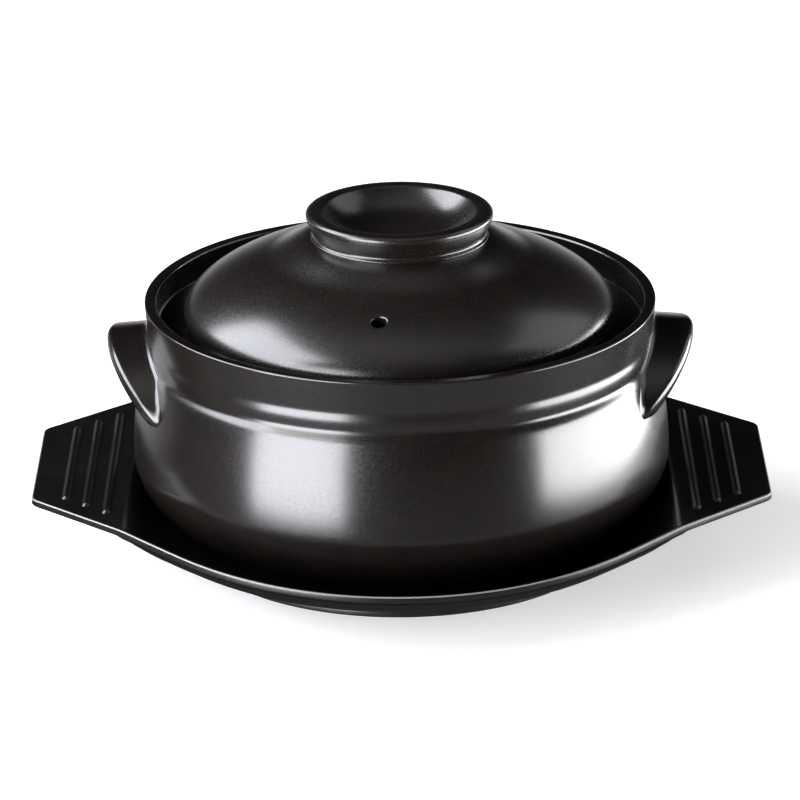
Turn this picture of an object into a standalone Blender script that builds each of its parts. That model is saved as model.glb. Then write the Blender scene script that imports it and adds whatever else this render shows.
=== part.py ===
"""Ceramic stew pot with an inset lid, standing on a moulded serving tray.

Metres, +Z up. The origin is on the table under the middle of the tray, the tray's two wings
point along X, and the front of the pot, where the lid's steam vent is, faces -Y.

The pot body is a basin with a belly ring and a collar on it, a ledge ring inside the collar,
and two ear-shaped lugs stuck to its wall. The lid is a domed shell with a grip ring on its
crown and a flange ring under it. It drops inside the collar, where the flange centres it on
the ledge. Each solid is a seam apart from the next.
"""
from math import acos, atan2, cos, degrees, pi, radians, sin, sqrt, tan

import bmesh
import bpy
import numpy as np
from mathutils import Matrix, Vector

# Clearances between touching pieces
SEAM = 0.0003
FLANGE_PLAY = 0.0010

# Pot body. Depths are measured down from the rim.
POT_HEIGHT = 0.0880
RIM_RADIUS = 0.0950
LIP_THICKNESS = 0.0044
COLLAR_TAPER = 0.0022
COVE_DEPTH = 0.0134
COVE_INSET = 0.0009
COVE_RUN = 0.0018
RIDGE_DEPTH = 0.0168
RIDGE_ROUND = 0.0023
RIDGE_PROUD = 0.0024
NECK_DEPTH = 0.0206
NECK_INSET = 0.0018
BELLY_RADIUS = 0.1005
BELLY_DEPTH = 0.0580
BASE_RADIUS = 0.0620
WALL = 0.0062
FLOOR = 0.0070
BASIN_HEIGHT = 0.0165
UPPER_BELLY_POWER = 1.6
LOWER_BELLY_POWER = 1.9
BASE_HOLLOW = 0.0010
BASE_RING_WIDTH = 0.0080
MOUTH_DROP = 0.0037

# Ledge ring inside the collar that carries the lid
LEDGE_DEPTH = 0.0103
LEDGE_WIDTH = 0.0164
LEDGE_THICKNESS = 0.0060
LEDGE_ROUND = 0.0012
COLLAR_STEP = 0.0012

# Lug: an arch of clay stuck to the wall, open below for the fingers
LUG_HALF_SPAN = 0.0460
LUG_EDGE_SETBACK = 0.0020
LUG_TOP_DEPTH = 0.0085
LUG_TIP_DEPTH = 0.0105
LUG_RISE = 0.0285
LUG_REACH = 0.0143
LUG_END_REACH = 0.0052
LUG_REACH_POWER = 1.3
LUG_FALL_POWER = 1.30
LUG_THICKNESS = 0.0080
LUG_TIP_THICKNESS = 0.0050
LUG_NOSE = 0.0022
LUG_NOSE_SHARE = 0.6
LUG_NOSE_POWER = 0.7
LUG_NOSE_STEPS = 6
LUG_ROOT_DEPTH = 0.0080
LUG_SECTIONS = 18

# Lid, placed by the ledge that it stands on. The crown's height is measured up from the rim.
LID_SIDE_GAP = 0.0102
LID_CROWN_Z = 0.0238
LID_EDGE_RISE = 0.0050
LID_WALL = 0.0058
DOME_POWER = 1.8
SHOULDER_RISE = 0.0033
SHOULDER_RADIUS = 0.0500
FLANGE_HEIGHT = 0.0060
FLANGE_THICKNESS = 0.0042
FLANGE_ROUND = 0.0010
SEAT_WIDTH = 0.0030
VENT_DIAMETER = 0.0054
VENT_RADIUS_FROM_AXIS = 0.0625
VENT_TURN = radians(-7.0)
VENT_DRILL_LENGTH = 0.0290

# Grip ring on the lid's crown
GRIP_RADIUS = 0.03475
GRIP_HEIGHT = 0.0100
GRIP_TOP_WIDTH = 0.0063
GRIP_FLOOR_RADIUS = 0.0248
GRIP_NECK_INSET = 0.0019
GRIP_NECK_RISE = 0.0030
GRIP_LIP_DEPTH = 0.0022
GRIP_EDGE_ROUND = 0.0011
GRIP_FOOT_FLARE = 0.0007
GRIP_DISH_POWER = 1.6

# Tray
TRAY_HALF_LENGTH = 0.1370
WING_END_HALF_WIDTH = 0.0365
WING_CORNER_ROUND = 0.0060
WING_HEIGHT = 0.0310
DISH_RIM_RADIUS = 0.1195
DISH_RIM_HEIGHT = 0.0255
DISH_LIP = 0.0025
RIM_RISE_POWER = 2.2
TRAY_WALL = 0.0027
TRAY_EDGE_ROUND = 0.0008
FLOOR_MARGIN = 0.0140
WELL_CLEARANCE = 0.0015
WELL_POWER = 2.0
WELL_STEPS = 6
FOOT_HEIGHT = 0.0060
FOOT_RING_WIDTH = 0.0050
FOOT_RING_ROUND = 0.0006
RIB_COUNT = 3
RIB_START_LENGTH = 0.1085
RIB_SPACING = 0.0078
RIB_WIDTH = 0.0026
RIB_HEIGHT = 0.0012
RIB_MARGIN = 0.0112

TURN_STEPS = 52
GRIP_STEPS = 48

# Places worked out from the sizes above
POT_BASE_Z = FOOT_HEIGHT + TRAY_WALL + SEAM
RIM_Z = POT_BASE_Z + POT_HEIGHT
COLLAR_INNER = RIM_RADIUS - LIP_THICKNESS
LEDGE_INNER = COLLAR_INNER - LEDGE_WIDTH
COLLAR_FOOT_RADIUS = RIM_RADIUS - COLLAR_TAPER
NECK_RADIUS = COLLAR_FOOT_RADIUS + RIDGE_PROUD - NECK_INSET
COLLAR_FOOT_Z = -NECK_DEPTH + SEAM
BASIN_TOP_Z = -POT_HEIGHT + BASIN_HEIGHT
SEAT_Z = -LEDGE_DEPTH + SEAM
LID_RADIUS = COLLAR_INNER - LID_SIDE_GAP
LID_EDGE_Z = SEAT_Z + LID_EDGE_RISE
FLANGE_OUTER = LEDGE_INNER - FLANGE_PLAY
FLANGE_INNER = FLANGE_OUTER - FLANGE_THICKNESS
FLOOR_RADIUS = BASE_RADIUS + FLOOR_MARGIN
DISH_FLOOR_Z = FOOT_HEIGHT + TRAY_WALL


def clear_scene():
    """Empties the scene of its objects."""
    for old in list(bpy.data.objects):
        bpy.data.objects.remove(old, do_unlink=True)


def make_collection(name):
    """Adds a collection to the scene."""
    collection = bpy.data.collections.new(name)
    bpy.context.scene.collection.children.link(collection)
    return collection


def make_material(name, colour, roughness, metallic):
    """A Principled material with a plain colour."""
    material = bpy.data.materials.new(name)
    material.use_nodes = True
    shader = material.node_tree.nodes["Principled BSDF"]
    shader.inputs["Base Color"].default_value = (*colour, 1.0)
    shader.inputs["Roughness"].default_value = roughness
    shader.inputs["Metallic"].default_value = metallic
    material.diffuse_color = (*colour, 1.0)
    return material


def quarter(flat_end, side_end, power, count):
    """Points of a quarter superellipse, from where it runs level to where it runs upright."""
    (flat_r, flat_z), (side_r, side_z) = flat_end, side_end
    points = []
    for angle in np.linspace(0.0, pi / 2, count + 1):
        across = sin(angle) ** (2 / power) if angle > 0 else 0.0
        along = max(cos(angle), 0.0) ** (2 / power)
        points.append((flat_r + (side_r - flat_r) * across, side_z + (flat_z - side_z) * along))
    return points


def arc(centre, radius, start, end, count):
    """Points of a circular arc, angles in degrees from +r towards +z."""
    turns = np.radians(np.linspace(start, end, count + 1))
    return [(centre[0] + radius * cos(t), centre[1] + radius * sin(t)) for t in turns]


def collar_outside():
    """Outer profile of the collar from the lip's outer edge down to its foot on the bowl."""
    ridge_centre = (COLLAR_FOOT_RADIUS + RIDGE_PROUD - RIDGE_ROUND, -RIDGE_DEPTH)
    collar = [(RIM_RADIUS, -LIP_THICKNESS / 2),
              (COLLAR_FOOT_RADIUS, -COVE_DEPTH + COVE_RUN),
              (COLLAR_FOOT_RADIUS - COVE_INSET, -COVE_DEPTH)]
    ridge = arc(ridge_centre, RIDGE_ROUND, 75, -75, 5)
    return collar + ridge + [(NECK_RADIUS, COLLAR_FOOT_Z)]


def bowl_outside():
    """Outer profile of the bowl from the neck down to the base's edge."""
    neck = (NECK_RADIUS, -NECK_DEPTH)
    belly = (BELLY_RADIUS, -BELLY_DEPTH)
    upper = quarter(neck, belly, UPPER_BELLY_POWER, 4)
    lower = quarter((BASE_RADIUS, -POT_HEIGHT), belly, LOWER_BELLY_POWER, 8)[::-1]
    return upper + lower[1:]


def pot_outside():
    """Outer profile of the whole pot from the lip's outer edge down to the base's edge."""
    return collar_outside() + bowl_outside()


def pot_outer_radius(height):
    """Outer radius of the pot at a height above the table."""
    profile = np.array(pot_outside())[::-1]
    return float(np.interp(height, profile[:, 1] + RIM_Z, profile[:, 0]))


def bowl_inside():
    """Inner profile of the bowl from the middle of its floor up to its mouth."""
    floor_z = -POT_HEIGHT + FLOOR
    mouth_radius = NECK_RADIUS - WALL
    side = (BELLY_RADIUS - WALL, -BELLY_DEPTH)
    lower = quarter((BASE_RADIUS - WALL, floor_z), side, LOWER_BELLY_POWER, 5)
    upper = quarter((mouth_radius, -NECK_DEPTH - MOUTH_DROP), side, UPPER_BELLY_POWER, 3)[::-1]
    mouth = [(mouth_radius, -NECK_DEPTH - LEDGE_ROUND), (mouth_radius + LEDGE_ROUND, -NECK_DEPTH)]
    return [(0.0, floor_z)] + lower + upper[1:] + mouth


def joint_point(profile, height):
    """The point of an upward profile at a height, and how many of its points lie below."""
    count = len([point for point in profile if point[1] < height])
    (low_r, low_z), (high_r, high_z) = profile[count - 1], profile[count]
    share = (height - low_z) / (high_z - low_z)
    return (low_r + (high_r - low_r) * share, height), count


def part_below(profile, height):
    """The part of an upward profile below a height, ending in a point at that height."""
    joint, count = joint_point(profile, height)
    return profile[:count] + [joint]


def part_above(profile, height):
    """The part of an upward profile above a height, starting with a point at that height."""
    joint, count = joint_point(profile, height)
    return [joint] + profile[count:]


def dome_height(radius, edge_radius, edge_z, crown_z):
    """Height of a superelliptic dome over a radius, in the rim's frame."""
    share = min(radius / edge_radius, 1.0)
    return edge_z + (crown_z - edge_z) * (1.0 - share ** DOME_POWER) ** (1.0 / DOME_POWER)


def grip_foot_radius():
    """Radius where the grip ring's flared foot meets the dome."""
    return GRIP_RADIUS - GRIP_NECK_INSET + GRIP_FOOT_FLARE


def lid_top(radius):
    """Height of the lid's outer surface over a radius, in the rim's frame.

    A shoulder of clay, highest at the grip's foot, is smoothed out onto the dome.
    """
    foot = grip_foot_radius()
    share = min(max((radius - foot) / (SHOULDER_RADIUS - foot), 0.0), 1.0)
    shoulder = SHOULDER_RISE * (1.0 - share * share * (3.0 - 2.0 * share))
    return dome_height(radius, LID_RADIUS, LID_EDGE_Z, LID_CROWN_Z) + shoulder


def lid_top_slope(radius):
    """Fall of the lid's outer surface per unit of radius."""
    step = 0.0005
    return (lid_top(radius + step) - lid_top(radius - step)) / (2 * step)


def new_object(name, mesh, material, collection, parent=None):
    """Links a mesh as an object with its material and parent."""
    made = bpy.data.objects.new(name, mesh)
    if material:
        mesh.materials.append(material)
    collection.objects.link(made)
    made.parent = parent
    return made


def turned(name, profile, steps, material, collection, parent=None, closed=False, smooth=True):
    """A solid turned about Z from a profile of (radius, z) points, with a Screw modifier.

    The profile's outer side runs downwards. A closed profile is a ring's section. A cutter is
    turned without smooth shading, so that the edges it cuts are shaded sharp.
    """
    mesh = bpy.data.meshes.new(name)
    count = len(profile)
    edges = [(i, i + 1) for i in range(count - 1)]
    if closed:
        edges.append((count - 1, 0))
    mesh.from_pydata([(r, 0.0, z) for r, z in profile], edges, [])
    made = new_object(name, mesh, material, collection, parent)
    screw = made.modifiers.new("Turn", "SCREW")
    screw.steps = steps
    screw.render_steps = steps
    screw.use_merge_vertices = True
    screw.merge_threshold = 0.00005
    screw.use_smooth_shade = smooth
    made.rotation_euler.z = pi / steps
    return made


def cut(made, cutter, operation="DIFFERENCE"):
    """Adds an exact Boolean with a cutter that stays in the cutters' collection."""
    cutter.hide_render = True
    cutter.display_type = "WIRE"
    modifier = made.modifiers.new(cutter.name, "BOOLEAN")
    modifier.operation = operation
    modifier.solver = "EXACT"
    modifier.object = cutter


def build_pot_basin(material, collection, parent):
    """The bottom of the bowl: floor and lower belly, with the base ring and its hollow."""
    ring_inner = BASE_RADIUS - BASE_RING_WIDTH
    base = [(ring_inner, -POT_HEIGHT),
            (ring_inner - BASE_HOLLOW, -POT_HEIGHT + BASE_HOLLOW),
            (0.0, -POT_HEIGHT + BASE_HOLLOW)]
    inside = part_below(bowl_inside(), BASIN_TOP_Z)
    outside = part_below(bowl_outside()[::-1], BASIN_TOP_Z)[::-1]
    profile = inside + outside + base
    return turned("pot_basin", profile, TURN_STEPS, material, collection, parent)


def build_pot_bowl(material, collection, parent):
    """The wall of the bowl above its basin: a belly ring up to the mouth."""
    foot = BASIN_TOP_Z + SEAM
    inside = part_above(bowl_inside(), foot)
    outside = part_above(bowl_outside()[::-1], foot)[::-1]
    profile = inside + outside
    return turned("pot_bowl", profile, TURN_STEPS, material, collection, parent, closed=True)


def build_pot_collar(material, collection, parent):
    """The collar that stands on the bowl's mouth: ridge, flared band and round lip."""
    lip_centre = (RIM_RADIUS - LIP_THICKNESS / 2, -LIP_THICKNESS / 2)
    lip = arc(lip_centre, LIP_THICKNESS / 2, 180, 0, 4)
    seat = COLLAR_INNER - COLLAR_STEP
    inside = [(seat, COLLAR_FOOT_Z), (seat, -LEDGE_DEPTH),
              (COLLAR_INNER, -LEDGE_DEPTH + LEDGE_ROUND)]
    profile = inside + lip + collar_outside()[1:]
    return turned("pot_collar", profile, TURN_STEPS, material, collection, parent, closed=True)


def build_pot_ledge(material, collection, parent):
    """The ledge ring that carries the lid: level on top, with a haunch down to the wall."""
    outer = COLLAR_INNER - COLLAR_STEP - SEAM
    under = -LEDGE_DEPTH - LEDGE_THICKNESS
    profile = [(outer, COLLAR_FOOT_Z),
               (LEDGE_INNER + LEDGE_ROUND, under),
               (LEDGE_INNER, under + LEDGE_ROUND),
               (LEDGE_INNER, -LEDGE_DEPTH - LEDGE_ROUND),
               (LEDGE_INNER + LEDGE_ROUND, -LEDGE_DEPTH),
               (outer, -LEDGE_DEPTH)]
    return turned("pot_ledge", profile, TURN_STEPS, material, collection, parent, closed=True)


def lug_root(share):
    """Side and height of the lug's root arch on the wall, half an ellipse, share -1 to 1."""
    turn = share * pi / 2
    return Vector((LUG_HALF_SPAN * sin(turn), -LUG_TOP_DEPTH - LUG_RISE * (1.0 - cos(turn))))


def lug_edge(share):
    """Side and height of the lug's outer edge: a rounded tent that falls away from the tip."""
    fall = (LUG_TOP_DEPTH + LUG_RISE - LUG_TIP_DEPTH) * abs(share) ** LUG_FALL_POWER
    return Vector(((LUG_HALF_SPAN - LUG_EDGE_SETBACK) * share, -LUG_TIP_DEPTH - fall))


def inward(curve, share):
    """Unit vector square to one of the lug's curves, towards the inside of its arch."""
    step = 0.01
    along = curve(share + step) - curve(share - step)
    return Vector((along.y, -along.x)).normalized()


def lug_section(share):
    """Corners of the lug's section at one place along its arch.

    The section starts inside the wall, reaches out to the lug's outer edge and has a rounded
    nose. Its upper face runs from the root arch to the outer edge, and its thickness is set
    off towards the inside of the arch, less at the nose than at the root.
    """
    root, edge = lug_root(share), lug_edge(share)
    root_in, edge_in = inward(lug_root, share), inward(lug_edge, share)
    reach = LUG_END_REACH + (LUG_REACH - LUG_END_REACH) * (1.0 - abs(share) ** LUG_REACH_POWER)
    tip = RIM_RADIUS + reach
    nose = min(LUG_NOSE, reach * LUG_NOSE_SHARE)
    outline = [(RIM_RADIUS - LUG_ROOT_DEPTH, root), (RIM_RADIUS, root)]
    for angle in np.radians(np.linspace(90.0, -90.0, LUG_NOSE_STEPS)):
        radius = tip - nose + nose * cos(angle) ** LUG_NOSE_POWER
        u = (radius - RIM_RADIUS) / (tip - RIM_RADIUS)
        upper = root.lerp(edge, u)
        lower = (root + root_in * LUG_THICKNESS).lerp(edge + edge_in * LUG_TIP_THICKNESS, u)
        outline.append((radius, upper.lerp(lower, 0.5 - 0.5 * sin(angle))))
    under = root + root_in * LUG_THICKNESS
    outline += [(RIM_RADIUS, under), (RIM_RADIUS - LUG_ROOT_DEPTH, under)]
    corners = []
    for radius, place in outline:
        angle = place.x / RIM_RADIUS
        corners.append((radius * cos(angle), radius * sin(angle), place.y))
    return corners


def build_lug(name, facing, wall_cutter, material, collection, parent):
    """An ear lug: a loft through sections along its arch, cut to sit on the pot's wall.

    facing is 0 for the lug on +X and pi for the one on -X.
    """
    work = bmesh.new()
    rings = []
    for share in np.linspace(-1.0, 1.0, LUG_SECTIONS):
        rings.append([work.verts.new(point) for point in lug_section(share)])
    size = len(rings[0])
    for first, second in zip(rings, rings[1:]):
        for i in range(size):
            j = (i + 1) % size
            work.faces.new((first[i], first[j], second[j], second[i]))
    work.faces.new(rings[0][::-1])
    work.faces.new(rings[-1])
    bmesh.ops.rotate(work, verts=work.verts, cent=(0, 0, 0),
                     matrix=Matrix.Rotation(facing, 3, "Z"))
    mesh = bpy.data.meshes.new(name)
    work.to_mesh(mesh)
    work.free()
    mesh.shade_smooth()
    mesh.set_sharp_from_angle(angle=radians(50))
    lug = new_object(name, mesh, material, collection, parent)
    cut(lug, wall_cutter)
    return lug


def build_wall_cutter(collection, parent):
    """The pot's outer form grown by the seam, to cut the lugs' roots to the wall."""
    outside = [(r + SEAM, z) for r, z in pot_outside()]
    profile = [(0.0, 0.0), (outside[0][0], 0.0)] + outside + [(0.0, -POT_HEIGHT)]
    return turned("wall_cutter", profile, TURN_STEPS, None, collection, parent, smooth=False)


def build_lid_dome(material, collection, cutters, parent):
    """The lid's shell: flat crown inside the grip, dome, rounded edge and level seat."""
    foot = grip_foot_radius()
    crown = [(0.0, LID_CROWN_Z), (GRIP_FLOOR_RADIUS, LID_CROWN_Z)]
    spread = np.sin(np.linspace(0.0, pi / 2, 12))
    radii = foot + (LID_RADIUS - foot) * spread
    dome = [(float(r), lid_top(float(r))) for r in radii]
    seat_outer = FLANGE_OUTER + SEAT_WIDTH
    edge = quarter((seat_outer, SEAT_Z), (LID_RADIUS, LID_EDGE_Z), 2.0, 3)[::-1]
    inner_edge = LID_RADIUS - LID_WALL
    inner_edge_z = LID_EDGE_Z - LID_WALL / 2
    inner_crown = LID_CROWN_Z - LID_WALL
    inner_radii = FLANGE_INNER * np.cos(np.linspace(0.0, pi / 2, 7))[:-1]
    inside = [(float(r), dome_height(float(r), inner_edge, inner_edge_z, inner_crown))
              for r in inner_radii] + [(0.0, inner_crown)]
    profile = crown + dome + edge[1:] + [(FLANGE_INNER, SEAT_Z)] + inside
    dome_object = turned("lid_dome", profile, TURN_STEPS, material, collection, parent)
    cut(dome_object, build_vent_cutter(cutters, parent))
    return dome_object


def build_lid_flange(material, collection, parent):
    """The flange ring under the dome that centres the lid inside the ledge."""
    top = SEAT_Z - SEAM
    low = SEAT_Z - FLANGE_HEIGHT
    profile = [(FLANGE_OUTER, top),
               (FLANGE_OUTER, low + FLANGE_ROUND),
               (FLANGE_OUTER - FLANGE_ROUND, low),
               (FLANGE_INNER + FLANGE_ROUND, low),
               (FLANGE_INNER, low + FLANGE_ROUND),
               (FLANGE_INNER, top)]
    return turned("lid_flange", profile, TURN_STEPS, material, collection, parent, closed=True)


def build_vent_cutter(collection, parent):
    """A drill for the steam vent, square to the dome's surface at the vent."""
    bpy.ops.mesh.primitive_cylinder_add(vertices=16, radius=VENT_DIAMETER / 2,
                                        depth=VENT_DRILL_LENGTH)
    drill = bpy.context.active_object
    drill.name = "vent_drill"
    for owner in list(drill.users_collection):
        owner.objects.unlink(drill)
    collection.objects.link(drill)
    outward = Vector((sin(VENT_TURN), -cos(VENT_TURN), 0.0))
    normal = (Vector((0, 0, 1)) - outward * lid_top_slope(VENT_RADIUS_FROM_AXIS)).normalized()
    drill.parent = parent
    drill.location = outward * VENT_RADIUS_FROM_AXIS + Vector((0, 0, lid_top(VENT_RADIUS_FROM_AXIS)))
    drill.rotation_mode = "QUATERNION"
    drill.rotation_quaternion = normal.to_track_quat("Z", "Y")
    return drill


def build_lid_grip_ring(material, collection, parent):
    """The grip: a ring with a rolled lip, a waist and a dished inside, seated on the crown.

    The waist is the parabola through the lip's lower edge, the neck and the foot.
    """
    top = LID_CROWN_Z + GRIP_HEIGHT
    foot = grip_foot_radius()
    foot_z = lid_top(foot) + SEAM
    inner_top = GRIP_RADIUS - GRIP_TOP_WIDTH
    lip_z = top - GRIP_LIP_DEPTH
    waist_z = [lip_z, foot_z + GRIP_NECK_RISE, foot_z]
    waist_r = [GRIP_RADIUS, GRIP_RADIUS - GRIP_NECK_INSET, foot]
    curve = np.polyfit(waist_z, waist_r, 2)
    heights = np.linspace(lip_z, foot_z, 6)
    waist = [(float(np.polyval(curve, z)), float(z)) for z in heights]
    dish = quarter((GRIP_FLOOR_RADIUS, LID_CROWN_Z + SEAM), (inner_top, top - GRIP_EDGE_ROUND),
                   GRIP_DISH_POWER, 5)
    rim = [(inner_top + GRIP_EDGE_ROUND, top), (GRIP_RADIUS - GRIP_EDGE_ROUND, top),
           (GRIP_RADIUS, top - GRIP_EDGE_ROUND)]
    profile = rim + waist + dish
    return turned("lid_grip_ring", profile, GRIP_STEPS, material, collection, parent, closed=True)


def tray_crease():
    """Distance from the middle where the flat wings begin, just clear of the pot's belly."""
    return pot_outer_radius(WING_HEIGHT) + WELL_CLEARANCE


def rim_height(x):
    """Height of the tray's rim: lowest at front and back, level along the wings."""
    share = min(abs(x) / tray_crease(), 1.0)
    return DISH_RIM_HEIGHT + (WING_HEIGHT - DISH_RIM_HEIGHT) * share ** RIM_RISE_POWER


def tray_quarter():
    """Plan of one quarter of the tray's edge, from the wing's end to the dish's front.

    The round dish runs into each wing along the line that touches it and the wing's corner.
    The edge has a point where its lip passes the crease between the well and the wing, be it
    on the line or on the round.
    """
    corner_angle = atan2(WING_END_HALF_WIDTH, TRAY_HALF_LENGTH)
    corner_distance = sqrt(WING_END_HALF_WIDTH ** 2 + TRAY_HALF_LENGTH ** 2)
    touch = corner_angle + acos(DISH_RIM_RADIUS / corner_distance)
    setback = WING_CORNER_ROUND * tan(touch / 2)
    centre = (TRAY_HALF_LENGTH - WING_CORNER_ROUND, WING_END_HALF_WIDTH - setback)
    corner = arc(centre, WING_CORNER_ROUND, 0.0, degrees(touch), 4)
    dish = np.array(arc((0.0, 0.0), DISH_RIM_RADIUS, degrees(touch), 90.0, 200))
    path = np.vstack((np.linspace(corner[-1], dish[0], 200), dish[1:]))
    steps = np.hypot(*np.diff(path, axis=0).T)
    lengths = np.concatenate(((0.0,), np.cumsum(steps)))
    lip_x = path[:, 0] * (1.0 - DISH_LIP / np.hypot(path[:, 0], path[:, 1]))
    bend = np.interp(-tray_crease(), -lip_x, lengths)
    places = np.concatenate((np.linspace(0.0, bend, 5)[1:],
                             np.linspace(bend, lengths[-1], 10)[1:]))
    sides = [(float(np.interp(place, lengths, path[:, 0])),
              float(np.interp(place, lengths, path[:, 1]))) for place in places]
    end = [(TRAY_HALF_LENGTH, 0.0), (TRAY_HALF_LENGTH, centre[1] / 2)]
    return end + corner + sides


def tray_outline():
    """Plan of the tray's whole edge, anticlockwise from the middle of the +X wing's end."""
    first = tray_quarter()
    second = [(-x, y) for x, y in first[::-1]][1:]
    upper = first + second
    lower = [(x, -y) for x, y in upper[::-1]][1:-1]
    return upper + lower


def crease_point(x, y):
    """Where the tray's well ends on the way out to a point of its edge."""
    distance = sqrt(x * x + y * y)
    limit = distance - DISH_LIP
    if abs(x) > 0:
        limit = min(limit, tray_crease() * distance / abs(x))
    return limit


def build_tray_shell(material, collection):
    """The moulded sheet of the tray: floor, well, wings, as rings lofted from circle to edge."""
    outline = tray_outline()
    shares = np.linspace(0.0, 1.0, WELL_STEPS)
    work = bmesh.new()
    middle = work.verts.new((0.0, 0.0, DISH_FLOOR_Z))
    spokes = []
    for x, y in outline:
        distance = sqrt(x * x + y * y)
        ray = (x / distance, y / distance)
        crease = crease_point(x, y)
        crease_z = rim_height(ray[0] * crease)
        spoke = []
        for share in shares:
            radius = FLOOR_RADIUS + (crease - FLOOR_RADIUS) * share
            z = DISH_FLOOR_Z + (crease_z - DISH_FLOOR_Z) * share ** WELL_POWER
            spoke.append(work.verts.new((ray[0] * radius, ray[1] * radius, z)))
        border = 1.0 - DISH_LIP / 2 / distance
        spoke.append(work.verts.new((x * border, y * border, rim_height(x * border))))
        spoke.append(work.verts.new((x, y, rim_height(x))))
        spokes.append(spoke)
    for first, second in zip(spokes, spokes[1:] + spokes[:1]):
        work.faces.new((middle, first[0], second[0]))
        for k in range(len(first) - 1):
            work.faces.new((first[k], first[k + 1], second[k + 1], second[k]))
    mesh = bpy.data.meshes.new("serving_tray")
    work.to_mesh(mesh)
    work.free()
    mesh.shade_smooth()
    tray = new_object("serving_tray", mesh, material, collection)
    shell = tray.modifiers.new("Wall", "SOLIDIFY")
    shell.thickness = TRAY_WALL
    shell.offset = -1.0
    shell.use_even_offset = True
    edge = tray.modifiers.new("Edge", "BEVEL")
    edge.width = TRAY_EDGE_ROUND
    edge.segments = 1
    edge.limit_method = "ANGLE"
    edge.angle_limit = radians(60)
    return tray


def build_foot_ring(collection):
    """The ring under the tray's floor that it stands on."""
    outer = FLOOR_RADIUS + FOOT_RING_WIDTH / 2
    inner = FLOOR_RADIUS - FOOT_RING_WIDTH / 2
    top = FOOT_HEIGHT + TRAY_WALL / 2
    profile = [(inner, top), (outer, top), (outer, FOOT_RING_ROUND),
               (outer - FOOT_RING_ROUND, 0.0), (inner + FOOT_RING_ROUND, 0.0),
               (inner, FOOT_RING_ROUND)]
    return turned("foot_ring", profile, TURN_STEPS, None, collection, closed=True)


def build_ribs(collection):
    """The finger ribs of both wings, long rounded ridges, as one mesh to be grown on."""
    work = bmesh.new()
    outline = np.array(tray_quarter())
    for side in (1, -1):
        for index in range(RIB_COUNT):
            x = RIB_START_LENGTH + index * RIB_SPACING
            half_width = float(np.interp(-x, -outline[1:, 0], outline[1:, 1]))
            half_length = half_width - RIB_MARGIN
            made = bmesh.ops.create_uvsphere(work, u_segments=10, v_segments=6, radius=1.0)
            for vert in made["verts"]:
                stretch = half_length - RIB_WIDTH / 2
                shift = 0.0 if abs(vert.co.z) < 1e-6 else stretch * (1 if vert.co.z > 0 else -1)
                vert.co = (side * x + vert.co.x * RIB_WIDTH / 2,
                           vert.co.z * RIB_WIDTH / 2 + shift,
                           WING_HEIGHT + vert.co.y * RIB_HEIGHT)
    bmesh.ops.recalc_face_normals(work, faces=work.faces)
    mesh = bpy.data.meshes.new("ribs")
    work.to_mesh(mesh)
    work.free()
    return new_object("ribs", mesh, None, collection)


def build_serving_tray(material, collection, cutters):
    """The tray: the moulded sheet with its foot ring and finger ribs grown on."""
    tray = build_tray_shell(material, collection)
    cut(tray, build_foot_ring(cutters), "UNION")
    cut(tray, build_ribs(cutters), "UNION")
    return tray


def make_frame(name, height, parts):
    """An empty on the axis that carries the pieces of one moving body."""
    empty = bpy.data.objects.new(name, None)
    empty.location = (0.0, 0.0, height)
    parts.objects.link(empty)
    return empty


def main():
    """Builds the whole stew pot set."""
    clear_scene()
    parts = make_collection("ceramic_stew_pot")
    cutters = make_collection("cutters")
    glaze = make_material("black_brown_glaze", (0.016, 0.012, 0.010), 0.32, 0.0)
    lid_glaze = make_material("black_brown_glaze_lid", (0.018, 0.014, 0.012), 0.36, 0.0)
    grip_glaze = make_material("black_brown_glaze_grip", (0.016, 0.012, 0.010), 0.34, 0.0)
    lug_glaze = make_material("black_brown_glaze_lug", (0.014, 0.011, 0.009), 0.34, 0.0)
    plastic = make_material("satin_black_moulding", (0.010, 0.010, 0.010), 0.42, 0.0)

    pot_frame = make_frame("pot_frame", RIM_Z, parts)
    lid_frame = make_frame("lid_frame", RIM_Z, parts)
    build_serving_tray(plastic, parts, cutters)
    build_pot_basin(glaze, parts, pot_frame)
    build_pot_bowl(glaze, parts, pot_frame)
    build_pot_collar(glaze, parts, pot_frame)
    build_pot_ledge(glaze, parts, pot_frame)
    wall_cutter = build_wall_cutter(cutters, pot_frame)
    build_lug("lug_right", 0.0, wall_cutter, lug_glaze, parts, pot_frame)
    build_lug("lug_left", pi, wall_cutter, lug_glaze, parts, pot_frame)
    build_lid_dome(lid_glaze, parts, cutters, lid_frame)
    build_lid_flange(lid_glaze, parts, lid_frame)
    build_lid_grip_ring(grip_glaze, parts, lid_frame)


main()
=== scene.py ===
"""Ceramic stew pot on its serving tray, dressed for a studio picture.

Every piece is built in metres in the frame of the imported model. Each class below is one
sub-assembly of the object: it holds its sizes as fields, builds its meshes and dresses them.
Sizes are in metres, or in millimetres where a name ends in mm. Heights called depths are
measured down from the pot's rim. Shares, powers and counts are plain numbers.
"""
from __future__ import annotations

import logging
from dataclasses import dataclass, field
from enum import Enum
from math import acos, atan2, cos, degrees, pi, radians, sin, sqrt, tan
from typing import Any, Callable, Sequence

import bpy
import numpy as np
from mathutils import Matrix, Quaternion, Vector


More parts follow.
